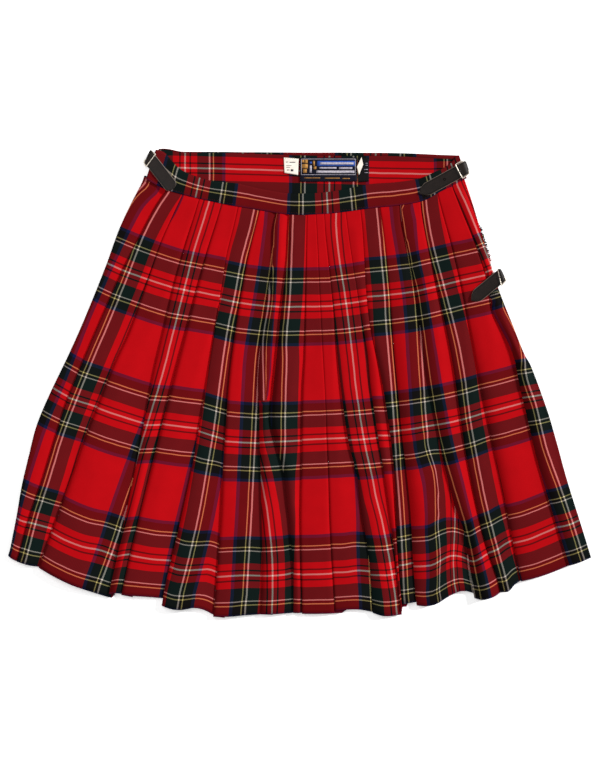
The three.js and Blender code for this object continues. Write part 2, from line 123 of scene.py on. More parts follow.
# %% The table of pleats
USUAL_RADII = [609, 633, 669, 716, 782, 824, 884, 925, 979, 1027, 1075]
SHORT_WAVE_RADII = [609, 633, 669, 716, 752, 782, 824, 884, 925, 979, 1027, 1075]
PLEATS = [
    {"name": "side", "bulge": 0.4,
     "radius": [609, 633, 669, 716, 782, 824, 884, 925, 961, 997, 1033, 1075],
     "angle": [-18.85, -19.2, -19.52, -19.55, -19.75, -19.95, -20.33, -20.43, -20.2, -19.95, -19.59, -19.25],
     "mark": [25.7, 32.6, 34.7, 39.1, 41.2, 39.5, 35.8, 35.6, 38, 40.5, 43.8, 45],
     "hem": [1082, 1084, 1085],
     "weft": [[713, 715], [875, 879], [1036, 1037, 1037]]},
    {"name": "p2", "bulge": 0.3,
     "radius": USUAL_RADII,
     "angle": [-15.95, -16.6, -17.2, -17.85, -18.35, -18.6, -18.85, -18.8, -18.7, -18.72, -18.58],
     "mark": [-33.5, -33, -33.1, -37.8, -39.6, -39.6, -39.7, -37.6, -37.5, -38.6, -39.4],
     "hem": [1085, 1085, 1083],
     "weft": [[715, 717], [880, 880], [1036, 1035, 1035]]},
    {"name": "p3", "bulge": 1.6,
     "radius": USUAL_RADII,
     "angle": [-14.03, -14.44, -14.95, -15.22, -15.6, -16.07, -16.46, -16.69, -16.84, -16.99, -17.13],
     "mark": [-112.2, -112.2, -106.7, -105.5, -107.3, -107.1, -102.6, -103.4, -103.3, -105, -105],
     "hem": [1084, 1089, 1093, 1095, 1097],
     "weft": [[717, 719], [881, 885], [1039, 1043, 1045, 1044, 1047]]},
    {"name": "p4", "bulge": 0.5,
     "radius": USUAL_RADII,
     "angle": [-12.07, -12.24, -12.5, -12.71, -12.75, -12.77, -12.63, -12.54, -12.49, -12.48, -12.45],
     "mark": [-11.9, -11.9, -11.7, -12.9, -11.6, -10.7, -4.4, 0.2, 2.6, 5.5, 6.9],
     "hem": [1093, 1090, 1090],
     "weft": [[719, 719], [887, 882], [1047, 1043, 1041]]},
    {"name": "p5", "bulge": 0.4,
     "radius": USUAL_RADII,
     "angle": [-9.45, -9.75, -10.15, -10.5, -10.83, -11.03, -11.25, -11.36, -11.5, -11.6, -11.66],
     "mark": [-96.5, -97, -95.5, -94, -94.5, -94, -92.5, -91.1, -91.4, -91.8, -92.8],
     "hem": [1091, 1088, 1086],
     "weft": [[718, 719], [881, 879], [1042, 1042, 1040]]},
    {"name": "p6", "bulge": 1.2,
     "radius": [609, 633, 669, 716, 764, 824, 884, 925, 979, 1027, 1075],
     "angle": [-7.63, -7.82, -8.15, -8.21, -8.25, -8.29, -8.38, -8.44, -8.64, -8.85, -9.05],
     "mark": [10.4, 10.2, 11, 12.5, 14.8, 14.1, 11.9, 12.1, 10.2, 9.9, 10.9],
     "hem": [1095, 1097, 1096, 1092, 1093, 1098],
     "weft": [[722, 724], [882, 888], [1047, 1049, 1048, 1046, 1044, 1047]]},
    {"name": "p7", "bulge": 0.8,
     "radius": USUAL_RADII,
     "angle": [-5.15, -5.5, -5.93, -6.22, -6.43, -6.42, -6.26, -6.15, -5.95, -5.85, -5.78],
     "mark": [-54.1, -57.9, -61.5, -62.8, -61.9, -63.4, -64.8, -65.4, -65.1, -65.3, -66.2],
     "hem": [1100, 1098, 1095, 1093],
     "weft": [[724, 725], [890, 889], [1052, 1049, 1047, 1047]]},
    {"name": "p8", "bulge": 0.4,
     "radius": [609, 633, 669, 716, 764, 788, 812, 830, 837.9, 838.1, 848, 884, 925, 955, 979, 1027, 1075],
     "angle": [-3.2, -3.55, -3.45, -3.72, -4, -4.05, -4.05, -3.95, -3.87, -3.87, -3.76, -3.6, -3.35, -3.22,
               -3.1, -2.9, -2.8],
     "mark": [33.7, 31.2, 34.3, 27.2, 26.5, 25.1, 21.2, 24.1, 23.5, 12.5, 11.1, 9.5, 0.9, -4.8, -7.8,
              -11.4, -12.2],
     "hem": [1093, 1092, 1091, 1090],
     "weft": [[725, 725], [888, 886], [1047, 1046, 1045, 1044, 1042]]},
    {"name": "p9", "bulge": 0,
     "radius": [609, 633, 669, 716, 764, 788, 824, 860, 887, 907, 925, 955, 979, 1009, 1039, 1075],
     "angle": [-1.83, -1.87, -1.92, -2.26, -2.47, -2.57, -2.72, -2.83, -2.33, -1.94, -1.64, -1.39, -1.19,
               -1, -0.85, -0.8],
     "mark": [-33.3, -33.9, -34.4, -38.1, -38.8, -41.5, -44.2, -46.8, -40.4, -33.9, -27.9, -24.1, -21.9,
              -18.7, -15.5, -14.8],
     "hem": [1090, 1090],
     "weft": [[725, 724], [886, 884], [1043, 1044]]},
    {"name": "p10", "bulge": 0.4,
     "radius": [609, 633, 669, 782, 824, 925, 979, 1075],
     "angle": [0.12, 0.09, 0.04, -0.1, -0.26, -0.33, -0.37, -0.24],
     "mark": [52.9, 52.9, 52.9, 52.9, 52.9, 52.9, 52.9, 52.9],
     "hem": [1091, 1091, 1091],
     "weft": [[724, 724], [883, 882], [1044, 1043]]},
    {"name": "p11", "bulge": 0.3,
     "radius": [609, 633, 669, 782, 824, 925, 979, 1027, 1075],
     "angle": [1.07, 1.16, 1.25, 1.48, 1.55, 1.68, 1.69, 1.75, 1.83],
     "mark": [-83.3, -83.3, -83.8, -81.8, -81.8, -79.1, -79.4, -77.5, -77.1],
     "hem": [1088, 1087, 1088, 1092],
     "weft": [[724, 724], [882, 882], [1042, 1042, 1041, 1043]]},
    {"name": "p12", "bulge": 1.3, "open": 0.9,
     "radius": [609, 633, 669, 716, 782, 824, 884, 925, 955, 979, 1027, 1075],
     "angle": [2.02, 2.06, 2.29, 2.56, 2.75, 2.93, 3.27, 3.74, 3.89, 3.98, 4.2, 4.2],
     "mark": [-14.2, -13.1, -12.9, -14.9, -17.5, -17.4, -18.4, -17.4, -18.8, -21.8, -23.8, -27.6],
     "hem": [1093, 1097, 1098, 1098],
     "weft": [[723, 721], [885, 885], [1047, 1048, 1049, 1048]]},
    {"name": "p13", "bulge": 0,
     "radius": [609, 633, 669, 716, 782, 824, 925, 979, 1027, 1075],
     "angle": [4.4, 4.5, 4.7, 5, 5.4, 5.4, 5.75, 5.88, 5.95, 5.93],
     "mark": [57.3, 57.3, 57.3, 57.3, 57.3, 57.3, 57.3, 57.3, 57.3, 57.3],
     "hem": [1094, 1089],
     "weft": [[721, 720], [882, 884], [1041, 1040]]},
    {"name": "p14", "bulge": 0.2,
     "radius": SHORT_WAVE_RADII,
     "angle": [6.12, 6.11, 5.97, 5.82, 5.88, 6.12, 6.4, 6.55, 6.53, 6.31, 6.15, 6.07],
     "mark": [10.6, 10.6, 9.6, 8.4, 11.1, 14.9, 19.9, 24.6, 26.4, 24.9, 24.7, 26.3],
     "hem": [1085, 1085, 1085],
     "weft": [[716, 717], [879, 879], [1039, 1038]]},
    {"name": "p15", "bulge": 1,
     "radius": SHORT_WAVE_RADII,
     "angle": [8.3, 8.3, 8.24, 8.04, 7.87, 7.74, 7.63, 7.45, 7.43, 7.33, 7.13, 6.98],
     "mark": [-59.5, -58.5, -59.5, -62.6, -63.1, -62.3, -60.8, -59.9, -62.5, -65.5, -64.5, -61],
     "hem": [1089, 1091, 1090, 1085, 1081, 1080, 1085],
     "weft": [[717, 718], [879, 879], [1042, 1043, 1043, 1039, 1036, 1038, 1045]]},
    {"name": "p16", "bulge": 1.5, "open": 0.9,
     "radius": [609, 633, 669, 716, 745, 764, 788, 824, 884, 925, 955, 979, 1003, 1027, 1075],
     "angle": [10.65, 10.4, 10.49, 10.54, 10.44, 10.34, 10.29, 10.18, 10.23, 10.23, 10.38, 10.48, 10.73,
               10.78, 10.63],
     "mark": [29.4, 30.4, 31.7, 31, 31.3, 31.3, 31.2, 30.8, 31.2, 31.5, 31.5, 31.4, 32.3, 32, 29.5],
     "hem": [1091, 1094, 1094, 1093, 1090],
     "weft": [[718, 717], [879, 879], [1046, 1047, 1045, 1043, 1042]]},
    {"name": "p17", "bulge": 0.6,
     "radius": USUAL_RADII,
     "angle": [12.92, 12.71, 12.65, 12.59, 12.56, 12.43, 12.12, 11.98, 11.94, 12, 12.3],
     "mark": [-36.3, -35.7, -35, -37.4, -40, -40.6, -40.3, -41.2, -41.1, -41.8, -39],
     "hem": [1090, 1091, 1085, 1082],
     "weft": [[717, 717], [879, 877], [1041, 1039, 1035, 1033]]},
    {"name": "p18", "bulge": 0.6,
     "radius": USUAL_RADII,
     "angle": [14.95, 14.94, 14.99, 14.93, 14.62, 14.41, 14.2, 14.1, 13.99, 13.84, 13.72],
     "mark": [-102.6, -103.6, -104.1, -103.1, -102.6, -100.9, -97.7, -98.1, -100.4, -107.6, -111.5],
     "hem": [1083, 1083, 1082, 1080],
     "weft": [[717, 719], [877, 878], [1036, 1036, 1034, 1032]]},
    {"name": "p19", "bulge": 0.2,
     "radius": [609, 633, 669, 716, 738, 744, 764, 782, 806, 823, 842, 860, 884, 907, 925, 945, 979, 1027,
                1075],
     "angle": [16.75, 16.95, 17.25, 17.4, 17.22, 17.17, 17, 17.2, 17.5, 17.57, 17.45, 17.3, 17.2, 17.1,
               17.02, 16.95, 16.9, 16.9, 16.88],
     "mark": [-6, -7.2, -7, -9.2, -10, -46, -47, -47.5, -47, -43, -38.9, -39.8, -42.4, -42.6, -42.8, -43.6,
              -46.3, -48.5, -49.5],
     "hem": [1080, 1080, 1079],
     "weft": [[716, 715], [872, 876], [1032, 1033, 1032]]},
]
# How each panel rises from its fold edge to a soft crest: distance and height in mm at five stations,
# from the waist (first) to the hem (last)
RISE = {
    "p3": ((3, 3, 4, 5, 5), (0, 0.4, 1.6, 1.8, 1.2)),
    "p4": ((8, 8, 9, 9, 8), (0.5, 1.8, 2.6, 3.2, 2.6)),
    "p5": ((3, 3, 4, 4, 3), (0.5, 1.5, 2.8, 1.8, 1.0)),
    "p6": ((10, 10, 8, 5, 5), (0.3, 1.0, 1.2, 2.0, 1.5)),
    "p7": ((3, 3, 3, 3, 3), (0.2, 0.9, 1.4, 1.4, 0.8)),
    "p8": ((10, 9, 7, 8, 8), (1.5, 2.8, 3.4, 3.2, 2.0)),
    "p9": ((6, 6, 8, 7, 6), (2.2, 3.9, 4.8, 2.8, 1.5)),
    "p10": ((3, 3, 3, 3, 3), (0, 0, 0.4, 0.4, 0)),
    "p11": ((3, 3, 3, 3, 3), (0, 0.2, 0.4, 0.4, 0)),
    "p12": ((8, 7, 5, 5, 5), (0.6, 1.2, 2.2, 1.3, 0.3)),
    "p13": ((10, 8, 5, 5, 5), (0.6, 1.4, 2.0, 1.2, 0.6)),
    "p14": ((7, 7, 6, 4, 4), (0.8, 2.0, 2.6, 2.6, 1.6)),
    "p15": ((12, 12, 13, 12, 10), (1.0, 1.8, 4.2, 3.8, 2.0)),
    "p16": ((12, 12, 12, 12, 14), (1.5, 3.5, 2.8, 3.2, 4.0)),
    "p17": ((7, 7, 7, 7, 7), (0.6, 1.4, 2.0, 1.8, 1.0)),
    "p18": ((8, 9, 10, 10, 8), (0.4, 0.8, 2.8, 2.6, 1.2)),
    "p19": ((12, 12, 12, 10, 9), (2.0, 1.2, 5.0, 3.0, 1.6)),
}
# How far each next fold lies pressed flat, at the same stations: 0 throws a shadow, 1 is only a fine line
PRESSED = {
    "p2": (1, 0.8, 0.1, 0, 0), "p3": (1, 0.6, 0, 0, 0), "p4": (1, 0.7, 0, 0, 0), "p5": (1, 1, 0.3, 0, 0),
    "p6": (0.9, 0.5, 0, 0, 0), "p7": (0.4, 0, 0, 0, 0), "p9": (1, 0.8, 0.3, 0, 0), "p10": (1, 1, 1, 0.9, 0.9),
    "p11": (1, 0.9, 0, 0, 0), "p12": (1, 1, 0.2, 0, 0), "p13": (1, 0.9, 0, 0, 0), "p14": (1, 0.9, 0.2, 0, 0),
    "p15": (0.8, 0.3, 0, 0, 0), "p16": (1, 0.5, 0, 0, 0), "p17": (1, 0.8, 0.3, 0, 0),
    "p18": (1, 0.9, 0.1, 0, 0),
}
RIGHT_SIDE = (
    [609, 633, 669, 716, 740, 782, 824, 838, 896, 933, 979, 1044, 1081],
    [18.3, 18.3, 18.2, 18.12, 18.1, 18.28, 18.46, 18.66, 18.77, 18.68, 18.52, 18.45, 18.4],
)
WHOLE_RADII = [633, 669, 716, 764, 836, 896, 955, 1003, 1075]
STEEP_RADII = [884, 907, 943, 979, 1003, 1027, 1051, 1075]
# Where a panel is too steep for its stripes to keep their spacing: stripe, radii, angles
STRETCHED = {
    "p8": [
        (29.3, [633, 716, 764, 800, 836], [-3.7, -3.55, -3.87, -3.68, -3.45]),
        (34.0, [633, 716, 764, 812, 836], [-3.45, -3.2, -3.5, -3.38, -3.3]),
        (48.5, [633, 716, 764, 800, 836], [-2.95, -2.95, -3.05, -3.05, -3.25]),
    ],
    "p15": [
        (-34.0, STEEP_RADII, [9.15, 9.05, 9.35, 9.1, 8.85, 8.75, 8.6, 8.35]),
        (-29.3, STEEP_RADII, [9.4, 9.3, 9.6, 9.35, 9.1, 9.0, 8.77, 8.5]),
        (-14.2, STEEP_RADII, [10.3, 10.1, 9.97, 9.85, 9.65, 9.47, 9.2, 9.05]),
        (0.0, STEEP_RADII, [11.2, 11.0, 10.7, 10.5, 10.27, 9.97, 9.67, 9.52]),
        (14.2, STEEP_RADII, [12.0, 11.8, 11.5, 11.2, 10.8, 10.6, 10.25, 10.12]),
        (29.3, STEEP_RADII, [12.8, 12.6, 12.3, 12.0, 11.5, 10.9, 10.6, 10.55]),
    ],
    "p16": [
        (34.0, WHOLE_RADII, [10.58, 10.47, 10.72, 10.58, 10.34, 10.33, 10.67, 10.98, 11.0]),
        (48.5, WHOLE_RADII, [11.93, 11.54, 11.5, 11.38, 11.22, 11.2, 11.37, 11.46, 11.65]),
    ],
}
STRETCH_SPAN = {"p8": (600, 838), "p15": (884, 1200), "p16": (600, 1200)}
print(len(PLEATS), "panels,", len(PLEATS) - 1, "pleats")

# %% [markdown]
# ## The waist
# The near edge of the waist dips in a shallow curve, because the band hangs open a little, while the far
# edge lies straight. The table gives the angle, and the radius of the back band's upper and lower edge.

# %% The back waistband's edges
BAND = [
    (-18.55, 566, 602), (-18.07, 565.5, 604), (-17.35, 566.5, 605.4), (-16.4, 572.3, 607),
    (-15.34, 578.7, 608), (-14.3, 582, 608.2), (-11.4, 585, 608.6),
    (-8.0, 583, 609.8), (-5.2, 586, 611), (-2.2, 589.1, 614), (0.3, 589, 614.2), (2.8, 587.7, 613.2),
    (5.2, 585, 612), (7.5, 583, 611.3), (10.4, 585.5, 613), (13.2, 587, 613.5), (15.3, 584, 608),
    (17.2, 580, 604), (18.3, 573, 602), (18.65, 574, 602),
]
BAND_ANGLES = [b[0] for b in BAND]


def band_top(angle):
    return smooth(BAND_ANGLES, [b[1] for b in BAND], angle)


def band_low(angle):
    return smooth(BAND_ANGLES, [b[2] for b in BAND], angle)


def side_angle(radius):
    return smooth([560, 592] + PLEATS[0]["radius"], [-18.3, -18.56] + PLEATS[0]["angle"], radius)


def right_angle(radius):
    return smooth(RIGHT_SIDE[0], RIGHT_SIDE[1], radius)


print("band height in the middle", round(band_low(0) - band_top(0), 1), "mm")

# %% [markdown]
# ## Nodes and colours
# Every finish is built from shader nodes. One helper adds a node, sets its values and links its inputs,
# and one turns an sRGB hex value, as read off a colour chart, to the linear colour that Cycles works in.

# %% Helpers for materials


def linear(hex_colour):
    parts = [int(hex_colour[k:k + 2], 16) / 255 for k in (1, 3, 5)]
    return tuple(p / 12.92 if p <= 0.04045 else ((p + 0.055) / 1.055) ** 2.4 for p in parts) + (1.0,)


def node(tree, kind, inputs=None, **settings):
    """Adds a node; inputs are values or output sockets, by input name or number."""
    made = tree.nodes.new(kind)
    for key, value in settings.items():
        setattr(made, key, value)
    for key, value in (inputs or {}).items():
        if isinstance(value, bpy.types.NodeSocket):
            tree.links.new(value, made.inputs[key])
        else:
            made.inputs[key].default_value = value
    return made


def reckon(tree, operation, *values):
    """One step of arithmetic on numbers or output sockets."""
    return node(tree, "ShaderNodeMath", dict(enumerate(values)), operation=operation).outputs[0]


def remap(tree, value, start, end, low=0.0, high=1.0):
    """Stretches the span from start to end over the span from low to high."""
    return node(tree, "ShaderNodeMapRange", {
        "Value": value, "From Min": start, "From Max": end, "To Min": low, "To Max": high,
    }).outputs[0]


def scaled(tree, vector, factor):
    return node(tree, "ShaderNodeVectorMath", {0: vector, "Scale": factor}, operation="SCALE").outputs[0]


def bumpy(tree, shader, height, strength, distance):
    bump = node(tree, "ShaderNodeBump", {"Height": height, "Strength": strength, "Distance": distance})
    tree.links.new(bump.outputs[0], shader.inputs["Normal"])


def new_material(name):
    material = bpy.data.materials.new(name)
    material.use_nodes = True
    tree = material.node_tree
    return material, tree, tree.nodes["Principled BSDF"]


print("white in linear light", linear("#ffffff")[:3])

# %% [markdown]
# ## The tartan
# The cloth is a worsted wool twill. A tartan is one list of coloured threads, the half sett, that runs to
# a pivot and back again, in the warp and in the weft alike. Where warp and weft of one colour cross, the
# colour is solid; elsewhere the two threads alternate in the twill and the eye mixes them. So the
# material measures a place's distance from the white pivot both ways in millimetres, looks up both
# threads in a ramp of thread counts, and mixes them with the twill's diagonals. One count is 0.84 mm.

# %% Thread counts of the half sett, from the white pivot to the middle of the red
THREAD = 0.837
YARNS = {
    "white": "#c6b9ac", "red": "#a8040c", "black": "#0b0808", "green": "#091513",
    "yellow": "#bcab66", "blue": "#12153a",
}
WARP = [("white", 1.0), ("red", 5.0), ("black", 2.2), ("red", 9), ("green", 16.8), ("white", 2.0),
        ("black", 3.8), ("yellow", 1.6), ("black", 11.8), ("blue", 4.8), ("red", 36.8)]
WEFT = [("white", 0.9), ("red", 4.9), ("black", 2.2), ("red", 9), ("green", 16.7), ("white", 1.5),
        ("black", 3.8), ("yellow", 1.4), ("black", 10.9), ("blue", 4.6), ("red", 38.9)]
HALF_SETT = 95 * THREAD


def yarn_ramp(tree, threads, place):
    ramp = node(tree, "ShaderNodeValToRGB", {"Fac": place})
    ramp.color_ramp.interpolation = "CONSTANT"
    stops = ramp.color_ramp.elements
    stops.remove(stops[1])
    total = sum(count for _, count in threads)
    at = 0
    for k, (colour, count) in enumerate(threads):
        stop = stops.new(at / total) if k else stops[0]
        stop.position = at / total
        stop.color = linear(YARNS[colour])
        at += count
    return ramp.outputs["Color"]


print("sett repeat", round(2 * HALF_SETT, 1), "mm")

# %% [markdown]
# The UV map named cloth holds millimetres on the cut cloth divided by 100, so the pattern follows each
# fold as real cloth does. The mix is done on gamma-encoded colours, which is close to how dense twill
# looks, because a dark thread also shades its light neighbours. The twill's ribs are drawn 1.3 mm apart,
# a little coarser than real ones, so that they can be seen at all.

# %% The tartan material
RIB = 1.3


def woven_tartan(name, weft_only=False):
    material, tree, shader = new_material(name)
    uv = node(tree, "ShaderNodeUVMap", uv_map="cloth").outputs["UV"]
    wave = node(tree, "ShaderNodeTexNoise", {"Vector": uv, "Scale": 7.0, "Detail": 2.0})
    middle = {0: wave.outputs["Color"], 1: (0.5, 0.5, 0.5)}
    shift = node(tree, "ShaderNodeVectorMath", middle, operation="SUBTRACT").outputs[0]
    wander = scaled(tree, shift, 0.008)
    place = node(tree, "ShaderNodeVectorMath", {0: uv, 1: wander}, operation="ADD").outputs[0]
    across = node(tree, "ShaderNodeSeparateXYZ", {0: place})
    threads = []
    for axis, counts in (("X", WARP), ("Y", WEFT)):
        folded = reckon(tree, "PINGPONG", across.outputs[axis], HALF_SETT / 100)
        ramp = yarn_ramp(tree, counts, reckon(tree, "DIVIDE", folded, HALF_SETT / 100))
        threads.append(node(tree, "ShaderNodeGamma", {"Color": ramp, "Gamma": 1 / 2.2}).outputs[0])
    diagonal = reckon(tree, "ADD", across.outputs["X"], across.outputs["Y"])
    turns = reckon(tree, "MULTIPLY", diagonal, 2 * math.pi * 100 / RIB / math.sqrt(2))
    twill = reckon(tree, "SINE", turns)
    share = remap(tree, twill, -1.0, 1.0, 0.38, 0.62)
    mixed = node(tree, "ShaderNodeMix", {"Factor": share}, data_type="RGBA")
    first = threads[1] if weft_only else threads[0]
    tree.links.new(first, mixed.inputs[6])
    tree.links.new(threads[1], mixed.inputs[7])
    back = node(tree, "ShaderNodeGamma", {"Color": mixed.outputs[2], "Gamma": 2.2}).outputs[0]
    cloudy = node(tree, "ShaderNodeTexNoise", {"Vector": uv, "Scale": 4.0, "Detail": 4.0})
    level = remap(tree, cloudy.outputs["Fac"], 0.0, 1.0, 0.88, 1.12)
    tree.links.new(scaled(tree, back, level), shader.inputs["Base Color"])
    fibre = node(tree, "ShaderNodeTexNoise", {"Vector": uv, "Scale": 120.0, "Detail": 3.0})
    bumpy(tree, shader, reckon(tree, "ADD", twill, fibre.outputs["Fac"]), 0.2, 0.0001)
    shader.inputs["Roughness"].default_value = 0.9
    shader.inputs["Specular IOR Level"].default_value = 0.06
    return material


tartan_cloth = woven_tartan("worsted_tartan_twill")
fringe_yarn = woven_tartan("ravelled_weft_yarn", weft_only=True)
print("made", tartan_cloth.name, fringe_yarn.name)

# %% [markdown]
# ## Leather, metal, labels and thread
# The strap leather is dark with a fine pebbled grain, a pressed line inside each edge and a paler
# rim, partly burnished wear and partly a painted highlight. Its UV map holds the distance along and across
# the strap. The buckles are cast, nickel plated and slightly dull. Labels are woven satin ribbon or printed
# taffeta, both with fine ribs.

# %% Small finishes


def strap_leather():
    material, tree, shader = new_material("dark_brown_bridle_leather")
    uv = node(tree, "ShaderNodeUVMap", uv_map="cloth").outputs["UV"]
    split = node(tree, "ShaderNodeSeparateXYZ", {0: uv})
    across = reckon(tree, "ABSOLUTE", split.outputs["Y"])
    rim = remap(tree, across, 0.073, 0.079)
    off_line = reckon(tree, "ABSOLUTE", reckon(tree, "SUBTRACT", across, 0.062))
    crease = remap(tree, off_line, 0.0, 0.006, 1.0, 0.0)
    grain = node(tree, "ShaderNodeTexVoronoi", {"Vector": uv, "Scale": 90.0})
    mottle = node(tree, "ShaderNodeTexNoise", {"Vector": uv, "Scale": 14.0, "Detail": 4.0})
    tone = node(tree, "ShaderNodeValToRGB", {"Fac": mottle.outputs["Fac"]})
    tone.color_ramp.elements[0].color = linear("#0f0a08")
    tone.color_ramp.elements[1].color = linear("#211814")
    # the pale rim: burnished wear together with a painted highlight along both edges
    rim_wear_and_highlight = node(tree, "ShaderNodeMix", {"Factor": rim, 7: linear("#7d7166")}, data_type="RGBA")
    tree.links.new(tone.outputs["Color"], rim_wear_and_highlight.inputs[6])
    pressed = node(tree, "ShaderNodeMix", {"Factor": crease, 7: linear("#050404")}, data_type="RGBA")
    tree.links.new(rim_wear_and_highlight.outputs[2], pressed.inputs[6])
    tree.links.new(pressed.outputs[2], shader.inputs["Base Color"])
    bumpy(tree, shader, reckon(tree, "SUBTRACT", grain.outputs["Distance"], crease), 0.35, 0.0002)
    shader.inputs["Roughness"].default_value = 0.5
    shader.inputs["Specular IOR Level"].default_value = 0.16
    return material


def fine_finish(name, low, high, scale, roughness, metallic=0.0, ribs=0.0, shine=0.3):
    """A plain finish with a cloudy tone and, for ribbon, fine ribs."""
    material, tree, shader = new_material(name)
    where = node(tree, "ShaderNodeTexCoord").outputs["Object"]
    cloud = node(tree, "ShaderNodeTexNoise", {"Vector": where, "Scale": scale, "Detail": 4.0})
    tone = node(tree, "ShaderNodeValToRGB", {"Fac": cloud.outputs["Fac"]})
    for stop, at, colour in zip(tone.color_ramp.elements, (0.3, 0.7), (low, high)):
        stop.position = at
        stop.color = linear(colour)
    tree.links.new(tone.outputs["Color"], shader.inputs["Base Color"])
    height = cloud.outputs["Fac"]
    if ribs:
        lines = {"Vector": where, "Scale": ribs, "Distortion": 0.4}
        weave = node(tree, "ShaderNodeTexWave", lines, bands_direction="Y")
        height = reckon(tree, "ADD", weave.outputs["Fac"], height)
    bumpy(tree, shader, height, 0.2, 0.0001)
    shader.inputs["Roughness"].default_value = roughness
    shader.inputs["Metallic"].default_value = metallic
    shader.inputs["Specular IOR Level"].default_value = 0.5 if metallic else shine
    return material


leather = strap_leather()
nickel = fine_finish("dull_nickel_plate", "#c9bfae", "#efe6d8", 900, 0.42, metallic=0.85)
prong_steel = fine_finish("dull_prong_steel", "#5c5650", "#7d766e", 700, 0.5, metallic=0.8)
white_satin = fine_finish("printed_white_satin_ribbon", "#e8ddcf", "#f6ecdf", 260, 0.6, ribs=420)
navy_satin = fine_finish("woven_navy_label_ribbon", "#060614", "#0b0b20", 260, 0.7, ribs=420, shine=0.12)
black_satin = fine_finish("printed_black_satin_ribbon", "#050506", "#0b0a0e", 260, 0.7, ribs=420, shine=0.12)
gold_weft = fine_finish("gold_label_thread", "#8a5c28", "#b9853d", 500, 0.6)
blue_weft = fine_finish("blue_label_thread", "#1f3e8c", "#2f56b0", 500, 0.6)
pale_weft = fine_finish("pale_label_thread", "#8d8698", "#c9c2c8", 500, 0.6)
black_print = fine_finish("dark_label_print", "#3a363c", "#59535a", 500, 0.8)
seam_thread = fine_finish("cotton_sewing_thread", "#4a1013", "#6b1a1d", 900, 0.8)
# near-black finish: painted shade inside the spare punched hole
painted_hole_shade = fine_finish("punched_hole_painted_shade", "#020101", "#060404", 500, 0.9, shine=0.05)
dark_thread = fine_finish("waxed_dark_thread", "#1a1615", "#2c2624", 900, 0.7)
print("small finishes made")

# %% [markdown]
# ## Making cloth
# Each stretch of cloth is a grid of points with its place on the cut cloth as UV. The Solidify modifier
# then gives the sheet its thickness, half to each side, so hems and fold edges have a real rim.

# %% A piece from points and faces, and a sheet from rows of points


def add_piece(name, points, faces, material, slot, uvs=None):
    mesh = bpy.data.meshes.new(name)
    mesh.from_pydata([tuple(p) for p in points], [], faces)
    if uvs:
        layer = mesh.uv_layers.new(name="cloth")
        for loop in mesh.loops:
            layer.data[loop.index].uv = uvs[loop.vertex_index]
    mesh.polygons.foreach_set("use_smooth", [True] * len(mesh.polygons))
    mesh.materials.append(material)
    piece = bpy.data.objects.new(name, mesh)
    bpy.context.scene.collection.objects.link(piece)
    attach(piece, "root")
    print(name, len(faces), "faces")
    return piece


def grid_faces(rows, columns, closed=False, start=0):
    span = columns if closed else columns - 1
    return [
        (start + j * columns + i, start + (j + 1) * columns + i,
         start + (j + 1) * columns + (i + 1) % columns, start + j * columns + (i + 1) % columns)
        for j in range(rows - 1) for i in range(span)
    ]


def woven_grid(downs, acrosses, place_at):
    """Rows of points and rows of places on the cloth; place_at gives both for one crossing."""
    made = [[place_at(down, across) for across in acrosses] for down in downs]
    return [[point for point, _ in row] for row in made], [[place for _, place in row] for row in made]


def cloth_sheet(name, rows, uvs, material, thickness=0.9, slot="tartan"):
    points, places = [p for row in rows for p in row], [uv for row in uvs for uv in row]
    piece = add_piece(name, points, grid_faces(len(rows), len(rows[0])), material, slot, places)
    shell = piece.modifiers.new("cloth thickness", "SOLIDIFY")
    shell.thickness = thickness * MM
    shell.offset = 0
    area = sum(p.area for p in piece.data.polygons)
    print("   ", round(area, 4), "m2 of cloth")
    return piece


# %% [markdown]
# ## One row across the pleated back
# Reading from the left: a fold edge lies on top, its panel slopes down to the right, slips under the next
# fold edge, turns, comes back and turns up into the next panel. Three layers lie on each other there,
# which is what throws the shadow line beside every pleat.

# %% The fold edges and the pattern on each panel
TOP = BACK_Z + 2 * STEP
SEAM_GAP = 0.3  # from the waistband's lower edge to the first row
DEEPEST_LAP = 13
STATIONS_DOWN = [0, 0.25, 0.5, 0.75, 1]
FLAT = (0, 0, 0, 0, 0)
PANEL_STEPS = [0.03, 0.08, 0.14, 0.21, 0.29, 0.38, 0.48, 0.58, 0.68, 0.78, 0.87, 0.94, 0.98]


def evenly(values, f):
    return smooth([k / (len(values) - 1) for k in range(len(values))], values, f)


def edge_of(k, t):
    """Angle, radius and tartan mark of panel k's fold edge, t of the way to the hem."""
    last = k == len(PLEATS)
    panel = PLEATS[-1 if last else k]

    def angle_at(radius):
        return right_angle(radius) if last else smooth(panel["radius"], panel["angle"], radius)

    seam, hem = band_low(angle_at(WAIST_RADIUS + BACK_LENGTH * t)), panel["hem"][-1 if last else 0]
    radius = seam + SEAM_GAP + (hem - seam - SEAM_GAP) * t
    return angle_at(radius), radius, 0 if last else smooth(panel["radius"], panel["mark"], radius)


def weft_place(panel, f, radius):
    """Distance along the warp from the topmost white weft stripe, in millimetres."""
    weft = panel["weft"]
    stripes = [left + (right - left) * f for left, right in weft[:2]] + [evenly(weft[2], f)]
    if radius < stripes[0]:
        return radius - stripes[0]
    return straight(stripes + [evenly(panel["hem"], f)], [0, 159, 318, 363], radius)


def warp_place(name, mark, angle, edge_angle, radius, arc):
    """Place across the cloth: the edge's mark and the distance from it, or between charted stripes."""
    x = (angle - edge_angle) * arc
    low, high = STRETCH_SPAN.get(name, (1, 0))
    if not low < radius < high:
        return mark + x
    knots = [(edge_angle, mark)]
    for stripe, radii, angles in STRETCHED[name]:
        at = smooth(radii, angles, radius)
        if at > knots[-1][0] + 0.04 and stripe > knots[-1][1] + 0.5:
            knots.append((at, stripe))
    if angle > knots[-1][0]:
        return knots[-1][1] + (angle - knots[-1][0]) * arc
    place = straight([k[0] for k in knots], [k[1] for k in knots], angle)
    blend = ease((radius - low) / 20)
    return place * blend + (mark + x) * (1 - blend)


print("rows of the back run over", BACK_LENGTH, "mm")

